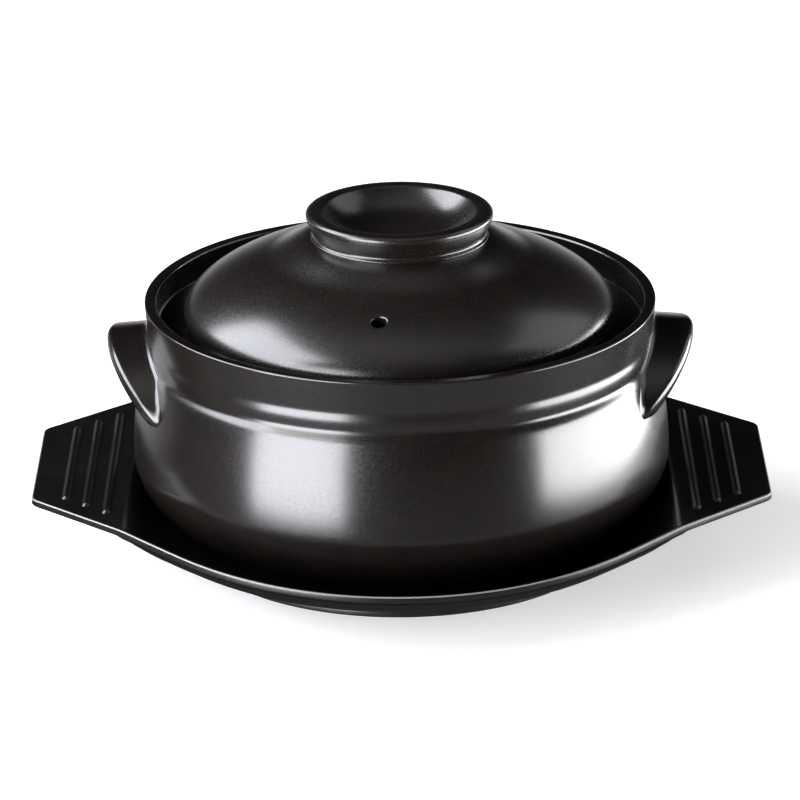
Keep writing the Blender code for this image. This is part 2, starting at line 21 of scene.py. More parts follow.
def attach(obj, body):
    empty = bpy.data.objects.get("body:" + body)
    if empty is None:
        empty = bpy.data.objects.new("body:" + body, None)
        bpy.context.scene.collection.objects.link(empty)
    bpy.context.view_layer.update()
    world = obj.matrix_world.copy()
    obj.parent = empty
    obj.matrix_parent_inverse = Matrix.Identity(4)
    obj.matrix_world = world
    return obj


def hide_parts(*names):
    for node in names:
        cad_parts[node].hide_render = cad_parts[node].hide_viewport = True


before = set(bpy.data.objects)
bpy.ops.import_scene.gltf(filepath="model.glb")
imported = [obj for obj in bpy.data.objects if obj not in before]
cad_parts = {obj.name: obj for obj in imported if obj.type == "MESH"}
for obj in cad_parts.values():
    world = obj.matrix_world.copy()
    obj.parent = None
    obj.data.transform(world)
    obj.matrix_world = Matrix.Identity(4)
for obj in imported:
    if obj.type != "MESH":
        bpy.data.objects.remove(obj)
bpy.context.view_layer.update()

Array = np.ndarray
# Name of the mask of the painted highlight along the tray's rounded upper edge.
PAINTED_HIGHLIGHT_EDGE = "painted_highlight_edge"
TINY = 1e-9
log = logging.getLogger("stew_pot")


class Body(Enum):
    """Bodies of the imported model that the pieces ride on."""

    TRAY = "tray"
    POT = "pot"
    LID = "lid"


class Slot(Enum):
    """Material slots of the record."""

    POT_GLAZE = "pot_glaze"
    LID_GLAZE = "lid_glaze"
    TRAY_PLASTIC = "tray_plastic"


class Side(Enum):
    """The two sides that the lugs and wings point to, as the sign of X."""

    RIGHT = 1
    LEFT = -1


# Curves


def superellipse_quarter(flat_end: Sequence[float], side_end: Sequence[float], power: float,
                         count: int) -> Array:
    """Quarter of a superellipse between a level end and an upright end.

    With t from 0 to a quarter turn, the radius runs by sin(t)^(2/power) and the height by
    cos(t)^(2/power).

    Args:
        flat_end: Radius and height of the end where the curve runs level.
        side_end: Radius and height of the end where it runs upright.
        power: Power of the superellipse; 2 is an ellipse.
        count: Number of segments.

    Returns:
        Points (count + 1, 2) from the level end to the upright end.
    """
    turn = np.linspace(0.0, pi / 2, count + 1)
    across = np.abs(np.sin(turn)) ** (2 / power)
    along = np.abs(np.cos(turn)) ** (2 / power)
    across[0], across[-1], along[-1] = 0.0, 1.0, 0.0
    radius = flat_end[0] + (side_end[0] - flat_end[0]) * across
    height = side_end[1] + (flat_end[1] - side_end[1]) * along
    return np.column_stack((radius, height))


def arc(centre: Sequence[float], radius: float, start: float, end: float, count: int) -> Array:
    """Circular arc, with angles in degrees from +radius towards +height.

    Args:
        centre: Centre of the arc.
        radius: Radius of the arc.
        start: Angle of its first point.
        end: Angle of its last point.
        count: Number of segments.

    Returns:
        Points (count + 1, 2).
    """
    turn = np.radians(np.linspace(start, end, count + 1))
    return np.column_stack((centre[0] + radius * np.cos(turn), centre[1] + radius * np.sin(turn)))


def rounded(corners: Sequence[Sequence[float]], count: int = 8) -> Array:
    """Polyline whose corners are replaced by arcs.

    Each corner is (x, y, radius). The arc touches both sides at radius * tan(turn / 2) from the
    corner, and a radius of 0 keeps the corner as a point.

    Args:
        corners: Corners with their radii.
        count: Segments of each arc.

    Returns:
        Points of the rounded polyline.
    """
    places = np.array([corner[:2] for corner in corners], float)
    runs: list[Array] = []
    for index, corner in enumerate(corners):
        size = corner[2] if len(corner) > 2 else 0.0
        if size <= 0.0 or index in (0, len(corners) - 1):
            runs.append(places[index][None, :])
            continue
        back = places[index - 1] - places[index]
        ahead = places[index + 1] - places[index]
        back, ahead = back / np.linalg.norm(back), ahead / np.linalg.norm(ahead)
        half = acos(float(np.clip(np.dot(back, ahead), -1.0, 1.0))) / 2
        middle = (back + ahead) / np.linalg.norm(back + ahead)
        centre = places[index] + middle * size / sin(half)
        first = places[index] + back * size / tan(half) - centre
        last = places[index] + ahead * size / tan(half) - centre
        share = np.linspace(0.0, 1.0, count + 1)[:, None]
        swept = pi - 2 * half
        run = (first * np.sin((1 - share) * swept) + last * np.sin(share * swept)) / sin(swept)
        runs.append(centre + run)
    return np.vstack(runs)


def softened(corners: Sequence[Sequence[float]], spacing: float, reach: float) -> Array:
    """Polyline with even points, blurred along its length so that every corner is a soft round.

    Each point is the mean of its neighbours with weights exp(-(s / reach)^2 / 2), where s is
    the distance along the line. Both ends are mirrored through themselves and stay in place.

    Args:
        corners: Corners of the polyline.
        spacing: Distance between the points.
        reach: Reach of the blur.

    Returns:
        Points (n, 2).
    """
    places = np.array(corners, float)
    length = np.concatenate(((0.0,), np.cumsum(np.hypot(*np.diff(places, axis=0).T))))
    even = np.linspace(0.0, length[-1], int(round(length[-1] / spacing)) + 1)
    line = np.column_stack([np.interp(even, length, places[:, k]) for k in range(2)])
    half = int(3 * reach / spacing)
    weights = np.exp(-0.5 * (np.arange(-half, half + 1) * spacing / reach) ** 2)
    weights /= weights.sum()
    held = np.vstack((2 * line[0] - line[half:0:-1], line,
                      2 * line[-1] - line[-2:-half - 2:-1]))
    return np.column_stack([np.convolve(held[:, k], weights, "valid") for k in range(2)])


def smoothstep(share: Array | float) -> Array | float:
    """Smooth rise from 0 to 1: 3 s^2 - 2 s^3, held at both ends."""
    held = np.clip(share, 0.0, 1.0)
    return held * held * (3.0 - 2.0 * held)


def soft_minimum(first: Array, second: Array, reach: float) -> Array:
    """Smaller of two heights, rounded where they cross.

    Within the reach the two are mixed and lowered by reach * h * (1 - h), with h the share of
    the first, which leaves a round instead of a crease.

    Args:
        first: Heights of one surface.
        second: Heights of the other.
        reach: Difference in height within which the crossing is rounded.

    Returns:
        The blended heights.
    """
    share = np.clip(0.5 + 0.5 * (second - first) / reach, 0.0, 1.0)
    return second * (1 - share) + first * share - reach * share * (1 - share)


# Meshes


def grid_quads(rows: int, columns: int, wrap_rows: bool, wrap_columns: bool) -> Array:
    """Quads of a grid whose vertices are numbered row by row.

    Args:
        rows: Number of rows.
        columns: Number of columns.
        wrap_rows: Whether the last row joins the first.
        wrap_columns: Whether the last column joins the first.

    Returns:
        Vertex numbers (quads, 4), turning from column to row.
    """
    row = np.arange(rows if wrap_rows else rows - 1)
    column = np.arange(columns if wrap_columns else columns - 1)
    r0, c0 = np.meshgrid(row, column, indexing="ij")
    r1, c1 = (r0 + 1) % rows, (c0 + 1) % columns
    corners = (r0 * columns + c0, r0 * columns + c1, r1 * columns + c1, r1 * columns + c0)
    return np.stack(corners, axis=-1).reshape(-1, 4)


def fan(pole: int, ring: Array) -> Array:
    """Triangles (n, 3) from one pole to a closed ring of vertex numbers."""
    return np.column_stack((np.full(len(ring), pole), ring, np.roll(ring, -1)))


@dataclass
class Shell:
    """A mesh as arrays: vertices, quads and triangles."""

    points: Array
    quads: Array
    triangles: Array = field(default_factory=lambda: np.zeros((0, 3), int))

    def turned_out(self) -> Shell:
        """The same shell with its faces outwards.

        Six times its volume is the sum of a . (b x c) over its triangles, and a negative sum
        means that they face inwards.

        Returns:
            This shell, or one with every face turned round.
        """
        parts = np.vstack((self.quads[:, [0, 1, 2]], self.quads[:, [0, 2, 3]], self.triangles))
        a, b, c = (self.points[parts[:, k]] for k in range(3))
        if np.einsum("ij,ij->", a, np.cross(b, c)) >= 0.0:
            return self
        return Shell(self.points, self.quads[:, ::-1], self.triangles[:, ::-1])

    def joined(self, other: Shell) -> Shell:
        """This shell and another as one mesh of separate islands.

        Args:
            other: The other shell.

        Returns:
            Both shells, with this one's vertices first.
        """
        shift = len(self.points)
        return Shell(np.vstack((self.points, other.points)),
                     np.vstack((self.quads, other.quads + shift)),
                     np.vstack((self.triangles, other.triangles + shift)))

    def mesh(self, name: str) -> bpy.types.Mesh:
        """Writes the arrays into a smooth-shaded Blender mesh.

        Args:
            name: Name of the mesh.

        Returns:
            The mesh.
        """
        made = bpy.data.meshes.new(name)
        loops = np.concatenate((self.quads.ravel(), self.triangles.ravel())).astype(np.int32)
        sizes = np.concatenate((np.full(len(self.quads), 4), np.full(len(self.triangles), 3)))
        starts = np.concatenate(((0,), np.cumsum(sizes)[:-1])).astype(np.int32)
        made.vertices.add(len(self.points))
        made.vertices.foreach_set("co", self.points.astype(np.float32).ravel())
        made.loops.add(len(loops))
        made.loops.foreach_set("vertex_index", loops)
        made.polygons.add(len(sizes))
        made.polygons.foreach_set("loop_start", starts)
        made.update(calc_edges=True)
        made.validate()
        made.shade_smooth()
        return made


def revolved(profile: Array, steps: int, closed: bool = False) -> Shell:
    """Surface of revolution: each profile point (r, z) is carried round Z.

    A vertex is (r cos a, r sin a, z), with the angle a in even steps. Where an open profile
    starts or ends on the axis, that end is one pole vertex.

    Args:
        profile: Points (n, 2) of radius and height.
        steps: Number of steps round the axis.
        closed: Whether the profile is a closed loop, as in a ring.

    Returns:
        A closed shell with its faces outwards.
    """
    turn = np.linspace(0.0, 2 * pi, steps, endpoint=False)
    start = 0 if closed or profile[0, 0] > TINY else 1
    stop = len(profile) if closed or profile[-1, 0] > TINY else len(profile) - 1
    body = profile[start:stop]
    points = np.stack((body[:, :1] * np.cos(turn), body[:, :1] * np.sin(turn),
                       np.repeat(body[:, 1:], steps, axis=1)), axis=-1).reshape(-1, 3)
    quads = grid_quads(len(body), steps, closed, True)
    ring = np.arange(steps)
    triangles = [np.zeros((0, 3), int)]
    if start:
        points = np.vstack((points, (0.0, 0.0, profile[0, 1])))
        triangles.append(fan(len(points) - 1, ring[::-1]))
    if stop < len(profile):
        points = np.vstack((points, (0.0, 0.0, profile[-1, 1])))
        triangles.append(fan(len(points) - 1, ring + (len(body) - 1) * steps))
    return Shell(points, quads, np.vstack(triangles)).turned_out()


def place_piece(name: str, mesh: bpy.types.Mesh, material: bpy.types.Material, body: Body,
                replaced: Sequence[str]) -> bpy.types.Object:
    """Links a finished mesh as a piece of the object and tells the frame about it.

    Args:
        name: Name of the piece.
        mesh: Its mesh, in place.
        material: Its finish.
        body: The body that it rides on.
        replaced: CAD nodes that it stands for.

    Returns:
        The new object.
    """
    mesh.materials.append(material)
    piece = bpy.data.objects.new(name, mesh)
    bpy.context.scene.collection.objects.link(piece)
    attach(piece, body.value)
    if replaced:
        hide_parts(*replaced)
    log.info("%s: %d faces, rides on %s", name, len(mesh.polygons), body.value)
    return piece


# Finishes


def linear(code: str) -> tuple[float, float, float, float]:
    """Linear colour of an sRGB hex value.

    Args:
        code: Six hex digits.

    Returns:
        Red, green, blue and alpha 1, linear.
    """
    levels = np.array([int(code[k:k + 2], 16) / 255 for k in (0, 2, 4)])
    low, high = levels / 12.92, ((levels + 0.055) / 1.055) ** 2.4
    red, green, blue = (float(v) for v in np.where(levels <= 0.04045, low, high))
    return red, green, blue, 1.0


class NodeBoard:
    """A material's or world's node tree, with one way to add a node."""

    def __init__(self, owner: bpy.types.Material | bpy.types.World) -> None:
        """Clears the owner's tree and keeps it.

        Args:
            owner: The material or world.
        """
        owner.use_nodes = True
        self.tree = owner.node_tree
        self.tree.nodes.clear()

    def add(self, kind: str, inputs: dict[str | int, Any] | None = None,
            **settings: Any) -> bpy.types.Node:
        """Adds a node with its settings, values and links.

        Args:
            kind: Blender's name for the node's type.
            inputs: Socket name or number to a value, or to an output socket to link from.
            **settings: Attributes of the node.

        Returns:
            The node.
        """
        node = self.tree.nodes.new(kind)
        for key, value in settings.items():
            setattr(node, key, value)
        for key, value in (inputs or {}).items():
            if isinstance(value, bpy.types.NodeSocket):
                self.tree.links.new(value, node.inputs[key])
            else:
                node.inputs[key].default_value = value
        return node

    def ramp(self, source: bpy.types.NodeSocket, stops: Sequence[tuple[float, Any]]
             ) -> bpy.types.NodeSocket:
        """A colour ramp over a value.

        Args:
            source: The value.
            stops: Position and grey level or linear colour of each stop, in order.

        Returns:
            The ramp's colour output.
        """
        node = self.add("ShaderNodeValToRGB", {"Fac": source})
        elements = node.color_ramp.elements
        while len(elements) < len(stops):
            elements.new(0.5)
        for element, (position, level) in zip(elements, stops):
            element.position = position
            element.color = level if isinstance(level, tuple) else (level, level, level, 1.0)
        return node.outputs["Color"]


def scattered_dots(board: NodeBoard, where: bpy.types.NodeSocket, spacing_mm: float,
                   share: float, core: float, edge: float) -> bpy.types.NodeSocket:
    """Small round dots in some cells of a cell pattern.

    Args:
        board: The node tree.
        where: Object coordinates.
        spacing_mm: Size of a cell.
        share: Share of the cells that hold a dot; four tenths of these hold a full one.
        core: Radius of the dot's full middle, in cells.
        edge: Radius at which the dot has faded out, in cells.

    Returns:
        A mask, 1 in the middle of a dot.
    """
    cells = board.add("ShaderNodeTexVoronoi", {"Vector": where, "Scale": 1000 / spacing_mm})
    chance = board.add("ShaderNodeSeparateColor", {"Color": cells.outputs["Color"]})
    chosen = board.ramp(chance.outputs["Red"], [(1 - share, 0.0), (1 - share * 0.4, 1.0)])
    dot = board.ramp(cells.outputs["Distance"], [(core, 1.0), (edge, 0.0)])
    return board.add("ShaderNodeMath", {0: chosen, 1: dot},
                     operation="MULTIPLY").outputs["Value"]


def spread_roughness(board: NodeBoard, source: bpy.types.NodeSocket, middle: float,
                     spread: float) -> bpy.types.NodeSocket:
    """Roughness that varies with a noise by a spread on both sides of a middle.

    Args:
        board: The node tree.
        source: The noise, whose values lie mostly between 0.3 and 0.7.
        middle: Middle roughness.
        spread: Difference to either side.

    Returns:
        The roughness.
    """
    return board.add("ShaderNodeMapRange", {
        "Value": source, "From Min": 0.3, "From Max": 0.7, "To Min": middle - spread,
        "To Max": middle + spread}).outputs["Result"]


@dataclass(frozen=True)
class StonewareGlaze:
    """Iron-rich black-brown glaze, fired semi-matte on stoneware.

    It gives the eye a near-black brown with soft broad highlights, a fine speckle of pale
    crystals, and a skin that is very slightly uneven, as a poured glaze is. Real crystals are
    finer; these are drawn as coarse as they need to show.
    """

    name: str
    dark: str = "0b0908"
    warm: str = "100c0a"
    speck: str = "231d19"
    clay_dark: str = "7c6449"
    clay_pale: str = "8d7458"
    roughness: float = 0.215
    roughness_spread: float = 0.06
    clay_roughness: float = 0.85
    ior: float = 1.62
    speck_spacing_mm: float = 0.9
    speck_share: float = 0.45
    speck_core: float = 0.08
    speck_edge: float = 0.34
    grain_mm: float = 0.6
    mottle_mm: float = 14.0
    skin_mm: float = 1.1
    skin_height_mm: float = 0.004
    foot_height: float | None = None
    foot_line_rise: float = 0.0008
    foot_line_width: float = 0.0003
    foot_waves_per_metre: float = 60.0
    clay_grains_per_metre: float = 1200.0

    def material(self) -> bpy.types.Material:
        """Builds the glaze.

        Returns:
            The material.
        """
        made = bpy.data.materials.new(self.name)
        board = NodeBoard(made)
        where = board.add("ShaderNodeTexCoord").outputs["Object"]
        mottle = board.add("ShaderNodeTexNoise", {
            "Vector": where, "Scale": 1000 / self.mottle_mm, "Detail": 5.0, "Roughness": 0.6})
        body = board.ramp(mottle.outputs["Fac"], [(0.35, linear(self.dark)),
                                                  (0.68, linear(self.warm))])
        specks = scattered_dots(board, where, self.speck_spacing_mm, self.speck_share,
                                self.speck_core, self.speck_edge)
        colour = board.add("ShaderNodeMix", {
            "Factor": specks, "A": body, "B": linear(self.speck)},
            data_type="RGBA").outputs["Result"]
        grain = board.add("ShaderNodeTexNoise", {
            "Vector": where, "Scale": 1000 / self.grain_mm, "Detail": 3.0, "Roughness": 0.7})
        gloss = spread_roughness(board, grain.outputs["Fac"], self.roughness,
                                 self.roughness_spread)
        if self.foot_height is not None:
            colour, gloss = self.with_bare_foot(board, where, colour, gloss)
        shader = board.add("ShaderNodeBsdfPrincipled", {
            "Base Color": colour, "Roughness": gloss, "IOR": self.ior,
            "Normal": self.skin(board, where, specks)})
        board.add("ShaderNodeOutputMaterial", {"Surface": shader.outputs["BSDF"]})
        return made

    def with_bare_foot(self, board: NodeBoard, where: bpy.types.NodeSocket,
                       colour: bpy.types.NodeSocket, gloss: bpy.types.NodeSocket
                       ) -> tuple[bpy.types.NodeSocket, bpy.types.NodeSocket]:
        """Leaves the foot unglazed: bare buff clay below a slightly wavy line.

        Args:
            board: The node tree.
            where: Object coordinates.
            colour: Colour of the glaze.
            gloss: Roughness of the glaze.

        Returns:
            Colour and roughness with the bare clay added.
        """
        height = board.add("ShaderNodeSeparateXYZ", {"Vector": where}).outputs["Z"]
        wave = board.add("ShaderNodeTexNoise", {
            "Vector": where, "Scale": self.foot_waves_per_metre, "Detail": 2.0})
        line = board.add("ShaderNodeMath", {
            0: wave.outputs["Fac"], 1: self.foot_line_rise, 2: height},
            operation="MULTIPLY_ADD").outputs["Value"]
        bare = board.add("ShaderNodeMapRange", {
            "Value": line, "From Min": self.foot_height,
            "From Max": self.foot_height + self.foot_line_width,
            "To Min": 1.0, "To Max": 0.0}).outputs["Result"]
        grain = board.add("ShaderNodeTexNoise", {
            "Vector": where, "Scale": self.clay_grains_per_metre, "Detail": 3.0})
        clay = board.ramp(grain.outputs["Fac"], [(0.3, linear(self.clay_dark)),
                                                 (0.7, linear(self.clay_pale))])
        mixed = board.add("ShaderNodeMix", {"Factor": bare, "A": colour, "B": clay},
                          data_type="RGBA").outputs["Result"]
        dull = board.add("ShaderNodeMix", {0: bare, 2: gloss, 3: self.clay_roughness}).outputs[0]
        return mixed, dull

    def skin(self, board: NodeBoard, where: bpy.types.NodeSocket,
             specks: bpy.types.NodeSocket) -> bpy.types.NodeSocket:
        """Unevenness of the poured glaze, with the specks standing a little proud.

        Args:
            board: The node tree.
            where: Object coordinates.
            specks: Mask of the specks.

        Returns:
            The bumped normal.
        """
        fine = board.add("ShaderNodeTexNoise", {
            "Vector": where, "Scale": 1000 / self.skin_mm, "Detail": 2.0})
        height = board.add("ShaderNodeMath", {0: specks, 1: 0.5, 2: fine.outputs["Fac"]},
                           operation="MULTIPLY_ADD").outputs["Value"]
        return board.add("ShaderNodeBump", {
            "Height": height, "Distance": self.skin_height_mm / 1000,
            "Strength": 1.0}).outputs["Normal"]


@dataclass(frozen=True)
class MouldedPhenolic:
    """Black thermoset moulding with a satin skin.

    It gives the eye a neutral black with a soft sheen, a very fine grain from the mould, a few
    specks of dust and a painted highlight: a grey line along the rounded upper edge. The grain
    is drawn at 0.7 mm, coarse enough to show.
    """

    name: str = "satin_black_phenolic_moulding"
    black: str = "060606"
    lifted: str = "090909"
    # Grey of the painted highlight along the rounded upper edge.
    painted_highlight: str = "6a6a6b"
    dust: str = "3c3c3d"
    roughness: float = 0.30
    roughness_spread: float = 0.02
    ior: float = 1.55
    cloud_mm: float = 22.0
    grain_mm: float = 0.7
    grain_height_mm: float = 0.010
    dust_mm: float = 2.6
    dust_share: float = 0.10
    dust_core: float = 0.06
    dust_edge: float = 0.13

    def material(self) -> bpy.types.Material:
        """Builds the moulding's finish.

        Returns:
            The material.
        """
        made = bpy.data.materials.new(self.name)
        board = NodeBoard(made)
        where = board.add("ShaderNodeTexCoord").outputs["Object"]
        cloud = board.add("ShaderNodeTexNoise", {
            "Vector": where, "Scale": 1000 / self.cloud_mm, "Detail": 3.0})
        skin = board.ramp(cloud.outputs["Fac"], [(0.35, linear(self.black)),
                                                 (0.7, linear(self.lifted))])
        # Mask of the painted highlight along the rounded upper edge.
        painted_highlight = board.add("ShaderNodeAttribute", attribute_name=PAINTED_HIGHLIGHT_EDGE).outputs["Fac"]
        body = board.add("ShaderNodeMix", {
            "Factor": painted_highlight, "A": skin, "B": linear(self.painted_highlight)},
            data_type="RGBA").outputs["Result"]
        dust = scattered_dots(board, where, self.dust_mm, self.dust_share, self.dust_core,
                              self.dust_edge)
        colour = board.add("ShaderNodeMix", {
            "Factor": dust, "A": body, "B": linear(self.dust)},
            data_type="RGBA").outputs["Result"]
        gloss = spread_roughness(board, cloud.outputs["Fac"], self.roughness,
                                 self.roughness_spread)
        grain = board.add("ShaderNodeTexNoise", {
            "Vector": where, "Scale": 1000 / self.grain_mm, "Detail": 1.0})
        bump = board.add("ShaderNodeBump", {
            "Height": grain.outputs["Fac"], "Distance": self.grain_height_mm / 1000,
            "Strength": 1.0}).outputs["Normal"]
        shader = board.add("ShaderNodeBsdfPrincipled", {
            "Base Color": colour, "Roughness": gloss, "IOR": self.ior, "Normal": bump})
        board.add("ShaderNodeOutputMaterial", {"Surface": shader.outputs["BSDF"]})
        return made


# The pot


@dataclass
class StewPot:
    """The thrown pot with its two luted ear lugs.

    Places along a lug's arch are given as a share, 0 in its middle and 1 at either end.
    """

    glaze: StonewareGlaze

    # Outside: lip, collar, ridge and belly
    height: float = 0.0880
    rim_z: float = 0.0970
    rim_radius: float = 0.0950
    lip_thickness: float = 0.0044
    collar_taper: float = 0.0011
    lip_round: float = 0.0006
    lip_inner_round: float = 0.0011
    band_depth: float = 0.0126
    ridge_rise_depth: float = 0.0149
    ridge_depth: float = 0.0164
    ridge_end_depth: float = 0.0199
    ridge_proud: float = 0.00032
    ridge_shoulder: float = 0.9  # share of its height that it has at the end of its rise
    ridge_taper: float = 0.0002
    neck_depth: float = 0.0195
    neck_radius: float = 0.0937
    profile_spacing: float = 0.0003
    profile_blur: float = 0.0007
    blur_from: int = 6  # first point of the belly's upper curve that is kept
    blur_to: int = 14  # first point that is left unblurred
    belly_radius: float = 0.1005
    belly_depth: float = 0.0580
    base_radius: float = 0.0620
    upper_power: float = 1.55
    lower_power: float = 1.9

    # Inside, base and ledge
    wall: float = 0.0062
    floor: float = 0.0070
    base_hollow: float = 0.0010
    base_ring_width: float = 0.0080
    base_round: float = 0.0004
    base_hollow_round: float = 0.0006
    ledge_depth: float = 0.0103
    ledge_width: float = 0.0164
    ledge_thickness: float = 0.0060
    ledge_haunch: float = 0.0080
    ledge_round: float = 0.0012

    # Lugs
    lug_half_span: float = 0.0455
    lug_edge_narrowing: float = 0.10
    lug_top_depth: float = 0.0095
    lug_droop: float = 0.0012
    lug_rise: float = 0.0255
    lug_arch_power: float = 1.6
    lug_left_drop: float = 0.0019
    lug_reach: float = 0.0143
    lug_end_reach: float = 0.0030
    lug_reach_power: float = 2.0
    lug_thickness: float = 0.0080
    lug_tip_thickness: float = 0.0052
    lug_end_width: float = 0.45  # share of the thickness that is left at the ends
    lug_taper_start: float = 0.95  # share of the arch
    lug_taper_end: float = 1.02  # share of the arch
    lug_end_sink: float = 0.0004
    lug_root_sink: float = 0.0015
    lug_root_lead: float = 1.05  # times the fillet's radius
    lug_nose: float = 0.0020
    lug_nose_power: float = 0.8
    lug_fillet: float = 0.0018
    lug_fillet_share: float = 0.45  # of the reach, where that is short

    # Fineness of the meshes
    steps: int = 240
    lug_sections: int = 120

    @property
    def collar_inner(self) -> float:
        """Inner radius of the collar."""
        return self.rim_radius - self.lip_thickness

    @property
    def ledge_inner(self) -> float:
        """Radius of the ledge's inner edge."""
        return self.collar_inner - self.ledge_width

    def outside(self) -> Array:
        """Outer profile from the lip's outer edge down to the base, with its corners rounded.

        The collar draws in to its foot, steps out over the ridge and then meets the belly's
        upper curve some points below the neck. This run is blurred, and the rest of the belly
        is two quarters of a superellipse.

        Returns:
            Points (n, 2) of radius and height from the rim.
        """
        foot = self.rim_radius - self.collar_taper
        crown = foot + self.ridge_proud
        neck = (self.neck_radius, -self.neck_depth)
        belly = (self.belly_radius, -self.belly_depth)
        upper = superellipse_quarter(neck, belly, self.upper_power, count=26)
        lower = superellipse_quarter((self.base_radius, -self.height), belly,
                                     self.lower_power, count=60)[::-1]
        collar = softened([
            (self.rim_radius, -self.lip_round), (foot, -self.band_depth),
            (foot + self.ridge_proud * self.ridge_shoulder, -self.ridge_rise_depth),
            (crown, -self.ridge_depth), (crown - self.ridge_taper, -self.ridge_end_depth),
            *upper[self.blur_from:self.blur_to]], self.profile_spacing, self.profile_blur)
        return np.vstack((collar, upper[self.blur_to:], lower[1:]))

    def wall_radius(self, level: Array) -> Array:
        """Outer radius of the wall, the lip's round left out.

        Args:
            level: Heights from the rim, negative below it.

        Returns:
            Radii, in the shape of the heights.
        """
        profile = self.outside()[::-1]
        rising = np.maximum.accumulate(profile[:, 1])
        return np.interp(level, rising, profile[:, 0])

    def inside(self) -> Array:
        """Inner profile from the middle of the floor up to the lip's inner edge.

        Returns:
            Points (n, 2) of radius and height from the rim.
        """
        floor_z = -self.height + self.floor
        side = (self.belly_radius - self.wall, -self.belly_depth)
        haunch = (self.neck_radius - self.wall,
                  -self.ledge_depth - self.ledge_thickness - self.ledge_haunch)
        lower = superellipse_quarter((self.base_radius - self.wall, floor_z), side,
                                     self.lower_power, count=30)
        upper = superellipse_quarter(haunch, side, self.upper_power, count=12)[::-1]
        under = -self.ledge_depth - self.ledge_thickness
        ledge = rounded([haunch, (self.ledge_inner, under, self.ledge_round),
                         (self.ledge_inner, -self.ledge_depth, self.ledge_round),
                         (self.collar_inner, -self.ledge_depth, self.ledge_round),
                         (self.collar_inner, -self.lip_inner_round)])
        return np.vstack(((0.0, floor_z), lower, upper[1:-1], ledge[:-1]))

    def bowl(self) -> Shell:
        """The whole thrown body: inside, round lip, outside, base ring and hollow.

        Returns:
            The body, turned about Z, in place.
        """
        lip = rounded([(self.collar_inner, -self.lip_inner_round * 2),
                       (self.collar_inner, 0.0, self.lip_inner_round),
                       (self.rim_radius, 0.0, self.lip_round),
                       (self.rim_radius, -self.lip_round * 2)], count=10)[1:-1]
        ring_inner = self.base_radius - self.base_ring_width
        hollow_z = -self.height + self.base_hollow
        base = rounded([(self.base_radius, -self.height),
                        (ring_inner, -self.height, self.base_round),
                        (ring_inner - self.base_hollow, hollow_z, self.base_hollow_round),
                        (0.0, hollow_z)], count=4)
        profile = np.vstack((self.inside(), lip, self.outside()[1:], base[1:]))
        profile[:, 1] += self.rim_z
        return revolved(profile, self.steps)

    def lug_root(self, share: Array) -> Array:
        """Root arch on the wall: a superellipse, as side and height from the rim.

        With t a quarter turn times the share, the side is half_span * sin(t)^(2/p) and the
        height falls by rise * (1 - cos(t)^(2/p)).

        Args:
            share: Places along the arch, from -1 to 1.

        Returns:
            Points (n, 2).
        """
        turn = np.clip(np.abs(share), 0.0, 1.0) * pi / 2
        beyond = np.maximum(np.abs(share) - 1.0, 0.0) * self.lug_rise
        power = 2 / self.lug_arch_power
        out = self.lug_half_span * np.sin(turn) ** power * np.sign(share)
        fall = self.lug_rise * (1.0 - np.maximum(np.cos(turn), 0.0) ** power) + beyond
        return np.column_stack((out, -self.lug_top_depth - fall))

    def lug_edge(self, share: Array) -> Array:
        """Outer edge: the root's arch made narrower, with its middle drooping a little.

        Args:
            share: Places along the arch, from -1 to 1.

        Returns:
            Points (n, 2) of side and height from the rim.
        """
        edge = self.lug_root(share) * (1.0 - self.lug_edge_narrowing, 1.0)
        edge[:, 1] -= self.lug_droop * np.clip(1.0 - share ** 2, 0.0, 1.0)
        return edge

    @staticmethod
    def towards_inside(curve: Callable[[Array], Array], share: Array) -> Array:
        """Unit vectors square to one of the lug's curves, into the arch.

        Args:
            curve: The curve as a function of share.
            share: Places along it.

        Returns:
            Vectors (n, 2).
        """
        step = 0.01
        along = curve(share + step) - curve(share - step)
        square = np.column_stack((along[:, 1], -along[:, 0]))
        return square / np.linalg.norm(square, axis=1)[:, None]

    def lug_face(self, root: Array, edge: Array, tip: Array, away: Array, bulge: Array,
                 outward: Array) -> Array:
        """Points of one face of the lug, from the wall outwards.

        The place on the face runs from the root to the edge as the radius runs from the rim's
        to the tip's. The bulge of the fillet moves it off the face along the wall, and as much
        of the wall's own shape is added as there is bulge.

        Args:
            root: Side and height of the face's root (n, 2).
            edge: Side and height of its outer edge (n, 2).
            tip: Radius of the tip (n,).
            away: Distances from the wall (rows, n).
            bulge: Bulges of the fillet (rows, n).
            outward: Unit vectors along the wall, off the face (n, 2).

        Returns:
            Side, height and radius of each point (rows, n, 3).
        """
        wall = self.wall_radius(root[:, 1])
        radius = wall + away
        share = np.clip((radius - self.rim_radius) / (tip - self.rim_radius), 0.0, 1.0)
        place = root + (edge - root) * share[..., None] + outward * bulge[..., None]
        follow = bulge / np.maximum(bulge.max(axis=0), TINY)
        radius = radius + (self.wall_radius(place[..., 1]) - wall) * follow
        return np.concatenate((place, radius[..., None]), axis=-1)

    def lug_rows(self, depth: Array, nose: Array) -> tuple[Array, Array]:
        """Rows across one face of the lug: the sunk root, the fillet and the run to the nose.

        With the turn b from 0 to 90 degrees and the fillet's radius f, the fillet leaves the
        wall by f * (1 - cos b) and stands off the face by f * (1 - sin b).

        Args:
            depth: Distances from the wall to the tip (n,).
            nose: Radii of the nose (n,).

        Returns:
            Distances from the wall and bulges off the face, each (rows, n).
        """
        turn = np.radians(np.linspace(0.0, 90.0, 9))[:, None]
        run = np.linspace(0.0, 1.0, 9)[1:, None]
        fillet = np.minimum(self.lug_fillet, depth * self.lug_fillet_share)
        away = np.vstack((np.full((1, len(depth)), -self.lug_root_sink),
                          fillet * (1.0 - np.cos(turn)), fillet + run * (depth - nose - fillet)))
        bulge = np.vstack((fillet[None] * self.lug_root_lead, fillet * (1.0 - np.sin(turn)),
                           np.zeros((len(run), len(depth)))))
        return away, bulge

